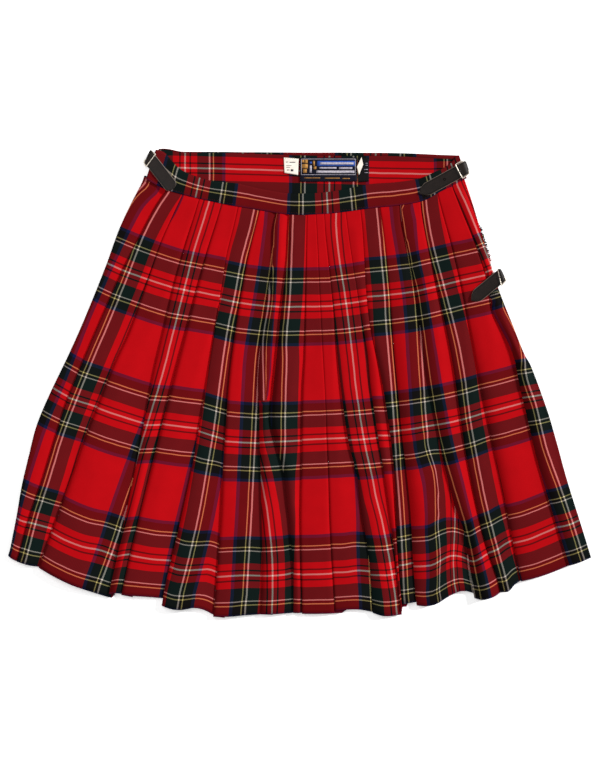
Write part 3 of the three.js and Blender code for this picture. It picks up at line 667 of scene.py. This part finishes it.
# %% One row through all the pleats, and the sheet


def back_row(t):
    """The row t of the way from the seam (0) to the hem (1): points and their places on the cloth."""
    edges = [edge_of(k, t) for k in range(len(PLEATS) + 1)]
    arc = DEGREE * (WAIST_RADIUS + BACK_LENGTH * t)
    path = []  # angle, height, panel, share of the panel, place across the cloth

    for k, panel in enumerate(PLEATS):
        edge, edge_radius, mark = edges[k]
        after = edges[k + 1][0]
        width = (after - edge) * arc
        far, tall = RISE.get(panel["name"], ((3, 3, 3, 3, 3), FLAT))
        crest_at = min(straight(STATIONS_DOWN, far, t), 0.5 * width)
        crest = straight(STATIONS_DOWN, tall, t) * ease(t / 0.05)
        opening = panel.get("open", 0) * ease((t - 0.72) / 0.25)
        bulge = panel["bulge"] * 2.4 * ease((t - 0.35) / 0.65)

        def add(x, z):
            angle = edge + x / arc
            place = warp_place(panel["name"], mark, angle, edge, edge_radius, arc)
            path.append((angle, z, panel, min(max(x / width, 0), 1), place))

        if k == 0:
            for x, z in ((3.2, 2.05), (1.4, 2.1), (0.6, 2.65), (0.9, 3.3), (2.2, 3.6)):
                path.append((edge + x / arc, z, panel, 0, mark + (x if z > 2.6 else -x)))
            for f in PANEL_STEPS[2:]:
                add(f * width, BACK_Z + (bulge + 0.5) * math.sin(math.pi * f))
        else:
            high = TOP - opening * STEP
            for x, z in ((0.35, high - 0.95), (0.0, high - 0.6), (0.15, high - 0.2)):
                path.append((edge + x / arc, z, panel, 0, mark + x * 0.5))
            lap = min(width * 0.45, DEEPEST_LAP)
            start = max(min(lap * 0.7, 0.4 * width), crest_at)
            pressed = straight(STATIONS_DOWN, PRESSED.get(panel["name"], FLAT), t)
            start += (width - 0.6 - start) * pressed
            end = width - 1.2 + 1.1 * pressed
            for f in PANEL_STEPS:
                x = 0.5 + f * (width - 0.5)
                fall = ease((x - start) / max(end - start, 0.5))
                z = TOP - opening * STEP * 1.2 * (1 - ease(x / (0.5 * width)))
                z += (BACK_Z - z) * fall + bulge * math.sin(math.pi * f) ** 0.9
                fade = ease((width - x) / max(width - crest_at, 1)) * pressed + (1 - fall) * (1 - pressed)
                z += crest * math.sin(math.pi / 2 * min(x / crest_at, 1)) * fade
                add(x, z)
        if k == len(PLEATS) - 1:
            for x, z in ((-2.2, 3.5), (-0.9, 3.2), (-0.6, 2.65), (-1.4, 2.15), (-3.2, 2.05)):
                path.append((after + x / arc, z, panel, 1, mark + width + (x if z > 2.6 else -x)))
            break
        following = PLEATS[k + 1]
        next_width = (edges[k + 2][0] - after) * arc
        opened = following.get("open", 0) * ease((t - 0.72) / 0.25)
        next_lap = min(next_width * 0.45, DEEPEST_LAP) * (1 - 0.7 * opened)
        ends_at = path[-1][4]
        next_mark = edges[k + 1][2]
        for x, z in ((-0.1, BACK_Z), (next_lap * 0.6, BACK_Z)):
            path.append((after + x / arc, z, panel, 1, ends_at + x))
        for x, z in ((0, BACK_Z), (0.6, BACK_Z + 0.3), (0.6, BACK_Z + STEP - 0.3), (0, BACK_Z + STEP)):
            path.append((after + (next_lap - 0.7 + x) / arc, z, following, 0, next_mark - next_lap + 0.7 - x))
        path.append((after + 1.2 / arc, BACK_Z + STEP, following, 0, next_mark - 1.2))

    points, places = [], []
    for angle, z, panel, f, u in path:
        seam = band_low(angle) + SEAM_GAP
        radius = seam + (evenly(panel["hem"], f) - seam) * t
        drape = 0.4 * noise.noise(Vector((angle * 0.35, radius / 80, 3.1)))
        drape += 0.22 * noise.noise(Vector((angle * 1.3, radius / 45, 9.4)))
        under = 0.9 * ease((0.004 - t) / 0.01)
        points.append(fan_point(angle, radius, z + drape - under))
        places.append((u / 100, weft_place(panel, f, radius) / 100))
    return points, places


# the first row goes on under the waistband, and an extra one lets the pattern jump at p8's deep fold
down = sorted([max(j, -0.6) / 96 for j in range(-1, 97)] + [0.4694])
rows, places = zip(*[back_row(t) for t in down])
pleated_cloth = cloth_sheet("pleated_back_cloth", rows, places, tartan_cloth)
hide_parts("pleated_back")

# %% [markdown]
# ## The aprons
# The two apron layers lie flat under the pleats and show only at the sides. They follow the same fan, so
# their edges keep inside the pleats. The over apron is the lowest layer.

# %% Over apron and under apron
FAR_BAND_RADIUS = 538.9 + 30.3
APRON_LENGTH = 470
APRON_HEM, HEM_SLANT = 1078, 2.7


def apron_rows(left, right, height, shorter):
    def place_at(j, i):
        t = j / 48
        nominal = WAIST_RADIUS + APRON_LENGTH * t
        a, b = left(nominal), right(nominal)
        angle = a + (b - a) * i / 60
        top = max(FAR_BAND_RADIUS / math.cos(math.radians(angle)), band_low(angle) + 0.5)
        hem = APRON_HEM - shorter + HEM_SLANT * i / 60
        radius = top + (hem - top) * t
        wave = 0.12 * noise.noise(Vector((angle / 2.2, radius / 60, height)))
        place = ((angle - 17.4) * DEGREE * nominal / 100, (radius - WEFT_PIVOT) / 100)
        return fan_point(angle, radius, height + wave), place

    return woven_grid(range(49), range(61), place_at)


def beside(edge, by):
    """An edge of the fan moved sideways by so many millimetres."""
    return lambda radius: edge(radius) + by / (radius * DEGREE)


apron_layers = [
    ("over_apron_cloth", "over_apron", beside(side_angle, 2.0), beside(right_angle, -7.5), 0.62, 3),
    ("under_apron_cloth", "under_apron", beside(side_angle, 22), beside(right_angle, -3.6), 2.1, 4),
]
for name, cad_name, left, right, height, shorter in apron_layers:
    rows, places = apron_rows(left, right, height, shorter)
    layer = cloth_sheet(name, rows, places, tartan_cloth)
    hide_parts(cad_name)

# %% [markdown]
# ## The fringe
# The over apron's free edge is ravelled: the warp is pulled out and the weft threads are left. A fringe
# is quick to make from four-sided tapered strands, each with its own small bend. Their colours
# come from the same list of weft threads.

# %% Fringe along the over apron's free edge
FRINGE_STRANDS = 240
FRINGE_LENGTH = 466


def fringe_strand(points, faces, uvs, line, thick, v):
    start = len(points)
    for j, p in enumerate(line):
        ahead = line[min(j + 1, len(line) - 1)] - line[max(j - 1, 0)]
        side = Vector((-ahead.y, ahead.x, 0)).normalized()
        half = thick * (1 - 0.55 * j / (len(line) - 1)) * MM / 2
        flat = min(half, 0.45 * MM)
        for dx, dz in ((half, 0), (0, flat), (-half, 0), (0, -flat)):
            points.append(p + side * dx + Vector((0, 0, dz)))
            uvs.append((0.0, v))
    faces += grid_faces(len(line), 4, closed=True, start=start)
    last = start + 4 * (len(line) - 1)
    faces.append((last, last + 1, last + 2, last + 3))


points, faces, uvs = [], [], []
for k in range(FRINGE_STRANDS):
    t = straight([0, 20, 172, FRINGE_STRANDS - 1], [0.004, 0.088, 0.217, 0.996], k)
    nominal = WAIST_RADIUS + FRINGE_LENGTH * t
    shows = ease((t - 0.09) / 0.02) * ease((0.215 - t) / 0.02)
    jitter = [noise.noise(Vector((k * 1.7, s, 0.5))) for s in (0.0, 5.0, 11.0)]
    reach = -1.4 + 3.7 * shows + (0.5 + 1.5 * shows) * jitter[0]
    root = beside(right_angle, -7.0)(nominal)
    tip = beside(right_angle, reach)(nominal)
    line = []
    for j in range(5):
        f = j / 4
        angle = root + (tip - root) * f
        radius = nominal + f * (3.0 * jitter[1]) + 1.2 * jitter[2] * math.sin(math.pi * f)
        line.append(fan_point(angle, radius, 0.75 + 0.9 * f * shows * (1 + jitter[0])))
    fringe_strand(points, faces, uvs, line, 0.9 + 0.4 * shows, (nominal - WEFT_PIVOT) / 100)
fringe = add_piece("fringe_strands", points, faces, fringe_yarn, "fringe_yarn", uvs)
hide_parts("fringe_edge")

# %% [markdown]
# ## The waistband
# The back waistband is a doubled strip of the same cloth, cut along the warp, so its stripes run with the
# band. It follows the curve of the waist, and its upper and lower edges are rolled under.

# %% Back waistband
BAND_HEIGHT = 25  # on average
# depth from the upper edge and height, then the same from the lower edge
BAND_SECTION = [(0.6, 5.2), (0.1, 5.7), (0.2, 6.3), (0.9, 6.8), (2.2, 7.0), (6, 7.1), (10, 7.15),
                (14, 7.15), (18, 7.1)]
BAND_FOOT = [(-3.4, 7.1), (-1.6, 7.0), (-0.5, 6.6), (0.0, 5.9)]


def band_place(section, k):
    depth, z = section
    angle = -18.5 + 37.05 * k / 200
    top, low = band_top(angle), band_low(angle)
    if section in BAND_FOOT:
        depth = (low - top) + depth
    elif depth > 2:
        depth = depth * (low - top) / BAND_HEIGHT
    wave = 0.3 * noise.noise(Vector((angle / 1.2, depth / 12, 7.7)))
    along = (angle + 12.55) / 14.95 * 2 * HALF_SETT / 100
    return fan_point(angle, top + depth, z + wave), (along, (19.4 + depth * BAND_HEIGHT / (low - top)) / 100)


rows, places = woven_grid(BAND_SECTION + BAND_FOOT, range(201), band_place)
back_band = cloth_sheet("back_waistband_cloth", rows, places, tartan_cloth, thickness=0.8)
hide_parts("back_waistband")

# %% [markdown]
# The apron waistband lies behind it. Its outer cloth is rolled over the top edge, which shows as a narrow
# padded strip, and the facing below it is the wrong side that the labels are sewn to.

# %% Apron waistband and facing
BAND_LEFT, BAND_RIGHT = -168.5, 189.0
FACING_RADIUS = 599  # the facing's lower edge, seen from the fan's point
# lists of x, each followed by what it gives: the upper edge, the roll's width, the warp's and the weft's marks
EDGE_X = [-168.5, -160.7, -152.4, -142.8, -130.9, -83.0, 12.4, 108.0, 143.8, 189.0]
EDGE_Y = [279.3, 279.7, 278.3, 276.2, 275.8, 275.6, 275.2, 274.8, 273.6, 271.8]
ROLL_X = [-168.5, -86.0, -53.0, 12.0, 110.0, 189.0]
ROLL_WIDE = [0.5, 0.8, 1.8, 3.4, 3.6, 4.6]
ROLL_SECTION = [(-30, 1.2), (-16, 1.3), (-1.45, 2.2), (-1.2, 3.1), (-1.0, 3.9), (-0.75, 4.3),
                (-0.42, 4.2), (-0.16, 3.5), (-0.08, 2.2), (-0.16, 1.0), (-4.0, 0.6), (-30, 0.55)]
FACING_KNOTS = [-169.1, -136.8, -85.5, -15.6, 35.9, 86.4, 158.1, 201.8]
FACING_MARKS = [-32.2, 0, 51.8, 107.5, 159.3, 211.1, 266.7, 318.6]
PIVOT_KNOTS = [-166.7, -101.0, -18.6, 90.0, 155.7, 191.5]
PIVOT_HEIGHTS = [257.2, 256.0, 253.6, 250.6, 249.4, 251.0]


def roll_place(section, k):
    depth, z = section
    x = BAND_LEFT + (BAND_RIGHT - BAND_LEFT) * k / 160
    if depth > -2:
        depth = depth * smooth(ROLL_X, ROLL_WIDE, x)
    y = smooth(EDGE_X, EDGE_Y, x) + depth + 0.25 * noise.noise(Vector((x / 30, 2.2, 0)))
    return flat_point(x, y, z), ((x - 91) / 100, (17 - depth) / 100)


rows, places = woven_grid(ROLL_SECTION, range(161), roll_place)
apron_band = cloth_sheet("apron_waistband_cloth", rows, places, tartan_cloth, thickness=0.7)
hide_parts("apron_waistband")


def facing_place(j, k):
    x = BAND_LEFT + 1 + (BAND_RIGHT - BAND_LEFT - 2) * k / 160
    low = APEX_Y - math.sqrt(FACING_RADIUS ** 2 - (x - APEX_X) ** 2)
    high = smooth(EDGE_X, EDGE_Y, x) - 1.12 * smooth(ROLL_X, ROLL_WIDE, x)
    y = high + (low - high) * j / 30
    wave = 0.3 * noise.noise(Vector((x / 22, y / 14, 5.5)))
    z = 3.65 - 0.5 * ease((j - 18) / 12) + wave
    pivot = straight(PIVOT_KNOTS, PIVOT_HEIGHTS, x)
    return flat_point(x, y, z), (straight(FACING_KNOTS, FACING_MARKS, x) / 100, (pivot - y) / 100)


rows, places = woven_grid(range(31), range(161), facing_place)
facing = cloth_sheet("inner_facing_cloth", rows, places, tartan_cloth, thickness=0.8)
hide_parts("inner_facing")

# %% [markdown]
# ## The labels
# Four small ribbons are sewn to the facing. What would be words is left as plain woven bars. Each label
# is a slightly wavy sheet; its bars lie just above it.

# %% Labels and their bars
LABEL_Z, BAR_Z = 4.9, 5.08


def label_height(x, y, base):
    return base + 0.22 * noise.noise(Vector((x / 9, y / 7, 1.5)))


def label_sheet(name, cad_name, slot, corners, base, material, flat, area=None):
    """Corners: upper left, upper right, lower right, lower left, before centring."""
    (a, b, c, d) = corners

    def place_at(j, i):
        f, g = i / 24, j / 12
        x, y = ((a[n] * (1 - f) + b[n] * f) * (1 - g) + (d[n] * (1 - f) + c[n] * f) * g for n in (0, 1))
        return flat_point(x, y, label_height(x, y, base)), (x / 100, y / 100)

    rows, uvs = woven_grid(range(13), range(25), place_at)
    piece = cloth_sheet(name, rows, uvs, material, thickness=0.4, slot=slot)
    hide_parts(cad_name)


def bars(name, rectangles, base, material, slot, thick=0.16):
    """Thin raised bars, each given by its left, right, lower and upper edge."""
    points, faces = [], []
    for x0, x1, y0, y1 in rectangles:
        steps = max(2, int((x1 - x0) / 3) + 1)
        start = len(points)
        for i in range(steps):
            x = x0 + (x1 - x0) * i / (steps - 1)
            for y, up in ((y0, 0), (y0, thick), (y1, thick), (y1, 0)):
                points.append(flat_point(x, y, label_height(x, y, base) + up))
        faces += grid_faces(steps, 4, closed=True, start=start)
        last = start + 4 * (steps - 1)
        faces += [(start, start + 1, start + 2, start + 3), (last + 3, last + 2, last + 1, last)]
    add_piece(name, points, faces, material, slot)


LABELS = [
    ("size_label", "white_label", [(-18.9, 269.0), (-1.2, 267.6), (-1.9, 248.0), (-18.1, 250.7)],
     LABEL_Z, white_satin, (0.0176, 0.0200), None),
    ("woven_label", "woven_label", [(0.2, 268.9), (68.6, 269.0), (68.6, 240.4), (0.3, 240.0)],
     LABEL_Z, navy_satin, (0.0685, 0.0290), None),
    ("care_label", "care_label", [(69.8, 268.6), (82.4, 268.4), (82.4, 240.4), (69.8, 239.6)],
     LABEL_Z, black_satin, (0.0127, 0.0290), None),
    ("care_label_flap", "white_label", [(73.9, 269.3), (75.9, 260.3), (70.9, 247.8), (68.3, 257.5)],
     6.3, white_satin, (0.0180, 0.0100), 0.00006),
]
for label, *details in LABELS:
    label_sheet(label + "_ribbon", label, *details)

bars("size_label_marks", [
    (-16.5, -13.5, 263.2, 264.0), (-12.0, -5.0, 262.8, 263.8), (-15.8, -9.6, 259.0, 259.6),
    (-15.8, -11.5, 256.9, 257.5), (-15.2, -12.0, 253.6, 254.6), (-10.6, -7.4, 252.4, 255.0),
], BAR_Z, black_print, "white_label", 0.08)
bars("woven_label_gold", [
    (2.4, 5.4, 263.0, 266.4), (6.0, 9.6, 262.2, 266.6), (2.6, 9.8, 256.0, 261.2), (4.0, 8.6, 250.6, 255.0),
    (16.0, 18.2, 259.0, 265.0), (16.8, 20.0, 255.0, 258.2), (5.4, 24.6, 244.2, 245.0),
    (30.0, 48.0, 243.8, 244.8), (51.0, 60.0, 243.4, 244.4),
], BAR_Z, gold_weft, "woven_label")
bars("woven_label_blue", [
    (20.8, 66.2, 258.6, 265.0), (12.0, 14.6, 261.6, 264.0),
], BAR_Z, blue_weft, "woven_label")
bars("woven_label_pale", [
    (1.8, 66.6, 266.9, 267.4), (66.2, 66.8, 248.4, 267.4), (1.8, 66.6, 248.2, 248.7),
    (1.8, 2.3, 248.2, 267.4), (24.5, 64.4, 260.6, 263.2), (23.8, 44.0, 255.6, 257.4),
    (47.0, 63.0, 255.2, 257.4), (20.0, 65.4, 250.4, 253.4), (12.0, 14.4, 250.8, 259.6),
], 5.16, pale_weft, "woven_label")
bars("care_label_marks", [
    (78.6, 81.4, 261.8, 262.4), (78.6, 81.4, 259.4, 260.0), (77.0, 81.4, 254.4, 255.0),
    (77.4, 81.4, 250.6, 251.2),
], BAR_Z, pale_weft, "care_label", 0.08)

# %% [markdown]
# ## Straps
# A strap is a ring of points swept along a path: it comes up round the side edge, humps over the
# buckle's far bar, dips under the near bar and lies on the band. The ring gets narrower at the tip, which
# makes the rounded or the pointed end.

# %% The three leather straps
# near and outer: where the near bar and the hump's outer end lie along the strap, and how askew they are
STRAPS = [
    {"name": "left_waist", "edge": (-180.8, 268.5), "way": (0.637, -0.771),
     "length": 48.0, "point": 6.0, "sharp": 2.0,
     "near": (4.75, -0.25), "outer": (-1.6, -0.5), "drift": (0.5, -0.025), "frame": (7.4, -7.4)},
    {"name": "right_waist", "edge": (199.0, 256.9), "way": (-0.853, -0.522),
     "length": 64.2, "point": 12.0, "sharp": 1.5,
     "near": (10.4, 0.07), "outer": (-1.0, 0.25), "drift": (0.0, -0.045), "frame": (7.4, -9.6)},
    {"name": "right_hip", "edge": (241.3, 130.1), "way": (-0.795, -0.607),
     "length": 48.4, "point": 11.0, "sharp": 1.6,
     "near": (4.8, 0.48), "outer": (-0.4, 0.2), "drift": (1.6, 0.04), "frame": (7.4, -7.4)},
]
STRAP_Z = 8.65
HALF_STRAP = 8.0
ACROSS = [-1, -0.985, -0.95, -0.88, -0.76, -0.5, -0.2, 0.2, 0.5, 0.76, 0.88, 0.95, 0.985, 1]


def strap_point(strap, along, across, height):
    (ex, ey), (wx, wy) = strap["edge"], strap["way"]
    across += strap["drift"][0] + strap["drift"][1] * (along - 5)
    return flat_point(ex + wx * along - wy * across, ey + wy * along + wx * across, height)


def strap_along(strap, share, distance, across):
    """Place along the strap: share of the way from the hump's outer end to the near bar, plus a distance."""
    near = strap["near"][0] + strap["near"][1] * across
    outer = strap["outer"][0] + strap["outer"][1] * across
    if share < 1:
        return outer + (near - outer) * share + distance
    return strap["near"][0] + strap["near"][1] * across * (1 - ease((distance - 1) / 12)) + distance


def strap_path(strap):
    """Knots from under the side edge, over the buckle's far bar, under its near bar and on to the tip."""
    knots = [(0, 1.6, 3.3), (0, 0.7, 4.6), (0, 0.2, 6.2), (0, 0.1, 8.0), (0, 0.5, 9.6), (0, 1.4, 10.8),
             (0.45, 0, 11.3), (0.7, 0, 11.35), (1, -1.3, 10.9), (1, -0.6, 10.1), (1, 0, 9.4),
             (1, 1.2, 8.9), (1, 3.4, STRAP_Z)]
    long = strap["length"] - strap["near"][0]
    steps = [3.4 + (long - 3.4) * k / 26 for k in range(1, 27)]
    knots += [(1, d, STRAP_Z) for d in steps if d < long - strap["point"] * 0.4]
    return knots + [(1, long - strap["point"] * k, STRAP_Z) for k in (0.32, 0.16, 0.08, 0.03, 0.008, 0.0)]


def strap_half_width(strap, share, distance):
    if share < 1 or distance < 0:
        return HALF_STRAP + 0.3 - 1.3 * (1 - ease((share * 7 + max(distance, 0)) / 2.2)) * (share < 0.4)
    from_tip = strap["length"] - strap["near"][0] - distance
    if from_tip < strap["point"]:
        taper = max(1 - (1 - from_tip / strap["point"]) ** strap["sharp"], 0.02)
        return HALF_STRAP * taper ** (0.5 if strap["sharp"] >= 2 else 0.78)
    return HALF_STRAP


for strap in STRAPS:
    path = strap_path(strap)
    line = [(strap_along(strap, share, distance, 0), z) for share, distance, z in path]
    points, uvs = [], []
    for j, (share, distance, z) in enumerate(path):
        before, ahead = line[max(j - 1, 0)], line[min(j + 1, len(line) - 1)]
        length = math.hypot(ahead[0] - before[0], ahead[1] - before[1])
        normal = (-(ahead[1] - before[1]) / length, (ahead[0] - before[0]) / length)
        half = strap_half_width(strap, share, distance)
        sway = 0.2 * noise.noise(Vector((line[j][0] / 13, 4.2, strap["length"])))
        for side in (1, -1):
            for a in ACROSS if side > 0 else ACROSS[::-1]:
                offset = 0.85 * (1 - abs(a) ** 9) ** 0.5 * side + 0.14 * (1 - a * a)
                along = strap_along(strap, share, distance, a * half) + normal[0] * offset
                points.append(strap_point(strap, along, a * half, z + normal[1] * offset + sway))
                rim = abs(a) * half + max(HALF_STRAP - half, 0) * a * a
                uvs.append((line[j][0] / 100, math.copysign(min(rim, HALF_STRAP), a) / 100))
    ring = 2 * len(ACROSS)
    faces = grid_faces(len(path), ring, closed=True)
    faces += [tuple(range(ring))[::-1], tuple(range((len(path) - 1) * ring, len(path) * ring))]
    piece = add_piece("strap_" + strap["name"] + "_leather", points, faces, leather, "leather", uvs)
    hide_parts("strap_" + strap["name"])

# %% [markdown]
# ## Buckles
# Each buckle is a rounded rectangle of cast wire. Only its near bar lies on top of the leather; its far
# bar is inside the strap's hump. A slim prong rests on the near bar.

# %% Buckle frames and prongs
NEAR_BAR = 9.3  # half the near bar's length
PRONG_LINE = [(-1.4, 11.75), (-0.5, 11.9), (0.5, 11.85), (1.3, 11.3)]  # distance from the near bar, height


def swept_wire(line, radius, closed, sides=10):
    points, faces = [], []
    count = len(line)
    for j, p in enumerate(line):
        before = line[j - 1] if closed or j else line[j]
        after = line[(j + 1) % count] if closed or j < count - 1 else line[j]
        ahead = (after - before).normalized()
        side = ahead.cross(Vector((0, 0, 1))).normalized()
        up = side.cross(ahead)
        thin = radius[j] if isinstance(radius, list) else radius
        for i in range(sides):
            a = 2 * math.pi * i / sides
            points.append(p + (side * math.cos(a) + up * math.sin(a)) * thin * MM)
    for j in range(count if closed else count - 1):
        here, there = j * sides, (j + 1) % count * sides
        for i in range(sides):
            following = (i + 1) % sides
            faces.append((here + i, here + following, there + following, there + i))
    if not closed:
        faces += [tuple(range(sides))[::-1], tuple(range((count - 1) * sides, count * sides))]
    return points, faces


def rounded(corners, turn=1.6):
    """A closed line through the corners with each corner rounded."""
    line = []
    for k, corner in enumerate(corners):
        back = (corners[k - 1] - corner).normalized() * turn
        ahead = (corners[(k + 1) % len(corners)] - corner).normalized() * turn
        for f in (0.0, 0.25, 0.5, 0.75, 1.0):
            line.append(corner + back * (1 - f) ** 2 + ahead * f ** 2)
    return line


for strap in STRAPS:
    n0, n1 = strap["near"]
    up, down = strap["frame"]
    corners = [Vector(c) for c in (
        (n0 + n1 * NEAR_BAR + 0.2, NEAR_BAR, 10.9), (n0 - n1 * NEAR_BAR + 0.2, -NEAR_BAR, 10.9),
        (0.3, down, 9.6), (0.3, up, 9.6),
    )]
    line = [strap_point(strap, p.x, p.y, p.z) for p in rounded(corners)]
    points, faces = swept_wire(line, 0.72, True)
    frame_piece = add_piece("buckle_" + strap["name"] + "_frame", points, faces, nickel, "buckle_metal")
    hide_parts("buckle_" + strap["name"])
    prong = [strap_point(strap, n0 + d, 0.2, z) for d, z in PRONG_LINE]
    points, faces = swept_wire(prong, [0.55, 0.55, 0.5, 0.3], False)
    add_piece("buckle_" + strap["name"] + "_prong", points, faces, prong_steel, "buckle_metal")

# %% [markdown]
# The right waist strap shows a spare hole: a small dish with a rim, painted near-black as the shade inside a
# punched hole.

# %% The spare hole
points, faces = [], []
for ring_radius, up in ((1.6, 0.0), (1.35, 0.1), (1.1, 0.02), (0.8, -0.1)):
    for i in range(20):
        a = 2 * math.pi * i / 20
        along, across = 29.7 + ring_radius * math.cos(a), ring_radius * math.sin(a) - 0.3
        points.append(strap_point(STRAPS[1], along, across, 9.68 + up))
faces = grid_faces(4, 20, closed=True)
faces.append(tuple(range(60, 80)))
# the dish carries the painted shade of the hole
add_piece("spare_hole", points, faces, painted_hole_shade, "leather")

# %% [markdown]
# ## Sewing
# Short capsules of thread, sunk halfway in the cloth, make stitches. They hold the labels, and a row runs
# along the foot of the waistband.

# %% Stitches


def stitches(name, stations, length, thick, material, slot):
    points, faces = [], []
    for place, way in stations:
        side = Vector((-way.y, way.x, 0))
        start = len(points)
        for f, w in ((-0.5, 0.25), (-0.3, 1.0), (0.3, 1.0), (0.5, 0.25)):
            for dx, dz in ((1, 0), (0, 1), (-1, 0), (0, -1)):
                out, up = side * (dx * w * thick * MM / 2), Vector((0, 0, dz * w * thick * MM / 2))
                points.append(place + way * (f * length * MM) + out + up)
        faces += grid_faces(4, 4, closed=True, start=start)
        faces += [(start + 3, start + 2, start + 1, start), (start + 12, start + 13, start + 14, start + 15)]
    add_piece(name, points, faces, material, slot)


def label_seam(corners, pitch=2.6):
    """Stitch places along straight stretches between corners."""
    found = []
    for (x0, y0), (x1, y1) in zip(corners, corners[1:]):
        long = math.hypot(x1 - x0, y1 - y0)
        way = Vector(((x1 - x0) / long, (y1 - y0) / long, 0))
        count = max(1, int(long / pitch))
        for k in range(count):
            f = (k + 0.5) / count
            x, y = x0 + (x1 - x0) * f, y0 + (y1 - y0) * f
            found.append((flat_point(x, y, label_height(x, y, 5.12)), way))
    return found


label_seams = []
for x0, x1, y0, y1 in ((0.9, 67.9, 241.2, 268.2), (70.4, 81.8, 241.4, 267.8)):
    label_seams += label_seam([(x0, y1), (x1, y1), (x1, y0), (x0, y0), (x0, y1)])
label_seams += label_seam([(-17.9, 267.8), (-1.7, 267.6)])
stitches("label_stitches", label_seams, 1.5, 0.3, dark_thread, "tartan")

band_seam = []
for k in range(128):
    angle = -17.9 + 35.6 * k / 127
    here = fan_point(angle, band_low(angle) - 2.0, 7.52)
    there = fan_point(angle + 0.05, band_low(angle + 0.05) - 2.0, 7.52)
    band_seam.append((here, (there - here).normalized()))
stitches("waistband_stitches", band_seam, 1.7, 0.22, seam_thread, "tartan")

# %% [markdown]
# ## Floor, light and camera
# The photo is a straight-down product shot on white, so the floor is a plain white sheet that glows a
# little, which keeps cast shadows faint. A key light stands up and to the right, low enough to draw the
# pleats. A soft box overhead and a white surround fill the rest.

# %% Camera
PIXEL = 1.194  # millimetres that one pixel of the photo covers
PHOTO_ROWS = 765
SENSOR = 24
DISTANCE = 2.4
camera_data = bpy.data.cameras.new("overhead camera")
camera = bpy.data.objects.new("overhead camera", camera_data)
bpy.context.scene.collection.objects.link(camera)
camera_data.sensor_fit = "VERTICAL"
camera_data.sensor_height = SENSOR
camera_data.lens = SENSOR * DISTANCE / (PHOTO_ROWS * PIXEL * MM)
camera.location = ((0.4 * PIXEL + CENTRE[0]) * MM, (0.2 * PIXEL + CENTRE[1]) * MM, DISTANCE + 0.006)
bpy.context.scene.camera = camera
print("lens", round(camera_data.lens, 1), "mm")

# %% Floor and lights
paper, tree, shader = new_material("white_paper_sweep")
grain = node(tree, "ShaderNodeTexNoise", {"Scale": 300.0, "Detail": 3.0})
tint = node(tree, "ShaderNodeValToRGB", {"Fac": grain.outputs["Fac"]})
tint.color_ramp.elements[0].color = linear("#fafafa")
tint.color_ramp.elements[1].color = linear("#ffffff")
tree.links.new(tint.outputs["Color"], shader.inputs["Base Color"])
shader.inputs["Roughness"].default_value = 0.95
shader.inputs["Specular IOR Level"].default_value = 0.0
shader.inputs["Emission Color"].default_value = (1, 1, 1, 1)
shader.inputs["Emission Strength"].default_value = 0.42
floor_mesh = bpy.data.meshes.new("floor")
corners = [(x * 12, y * 12, -0.0003) for x, y in ((-1, -1), (1, -1), (1, 1), (-1, 1))]
floor_mesh.from_pydata(corners, [], [(0, 1, 2, 3)])
floor_mesh.materials.append(paper)
floor = bpy.data.objects.new("floor", floor_mesh)
bpy.context.scene.collection.objects.link(floor)

world = bpy.data.worlds.new("studio")
bpy.context.scene.world = world
world.use_nodes = True
world.node_tree.nodes["Background"].inputs["Color"].default_value = (1, 1, 1, 1)
world.node_tree.nodes["Background"].inputs["Strength"].default_value = 0.2

LIGHTS = [  # place, angle or size, power
    ("key light", "SUN", (2.4, 1.1, 1.5), 0.16, 4.0),
    ("overhead box", "AREA", (-0.35, 0.15, 1.1), 0.8, 6.5),
]
for name, kind, place, size, power in LIGHTS:
    lamp_data = bpy.data.lights.new(name, kind)
    if kind == "SUN":
        lamp_data.angle = size
    else:
        lamp_data.size = size
    lamp_data.energy = power
    lamp = bpy.data.objects.new(name, lamp_data)
    lamp.location = place
    lamp.rotation_euler = (Vector((0, 0, 0)) - Vector(place)).to_track_quat("-Z", "Y").to_euler()
    bpy.context.scene.collection.objects.link(lamp)
bpy.context.scene.view_settings.view_transform = "Standard"
print("lights", [light[0] for light in LIGHTS])
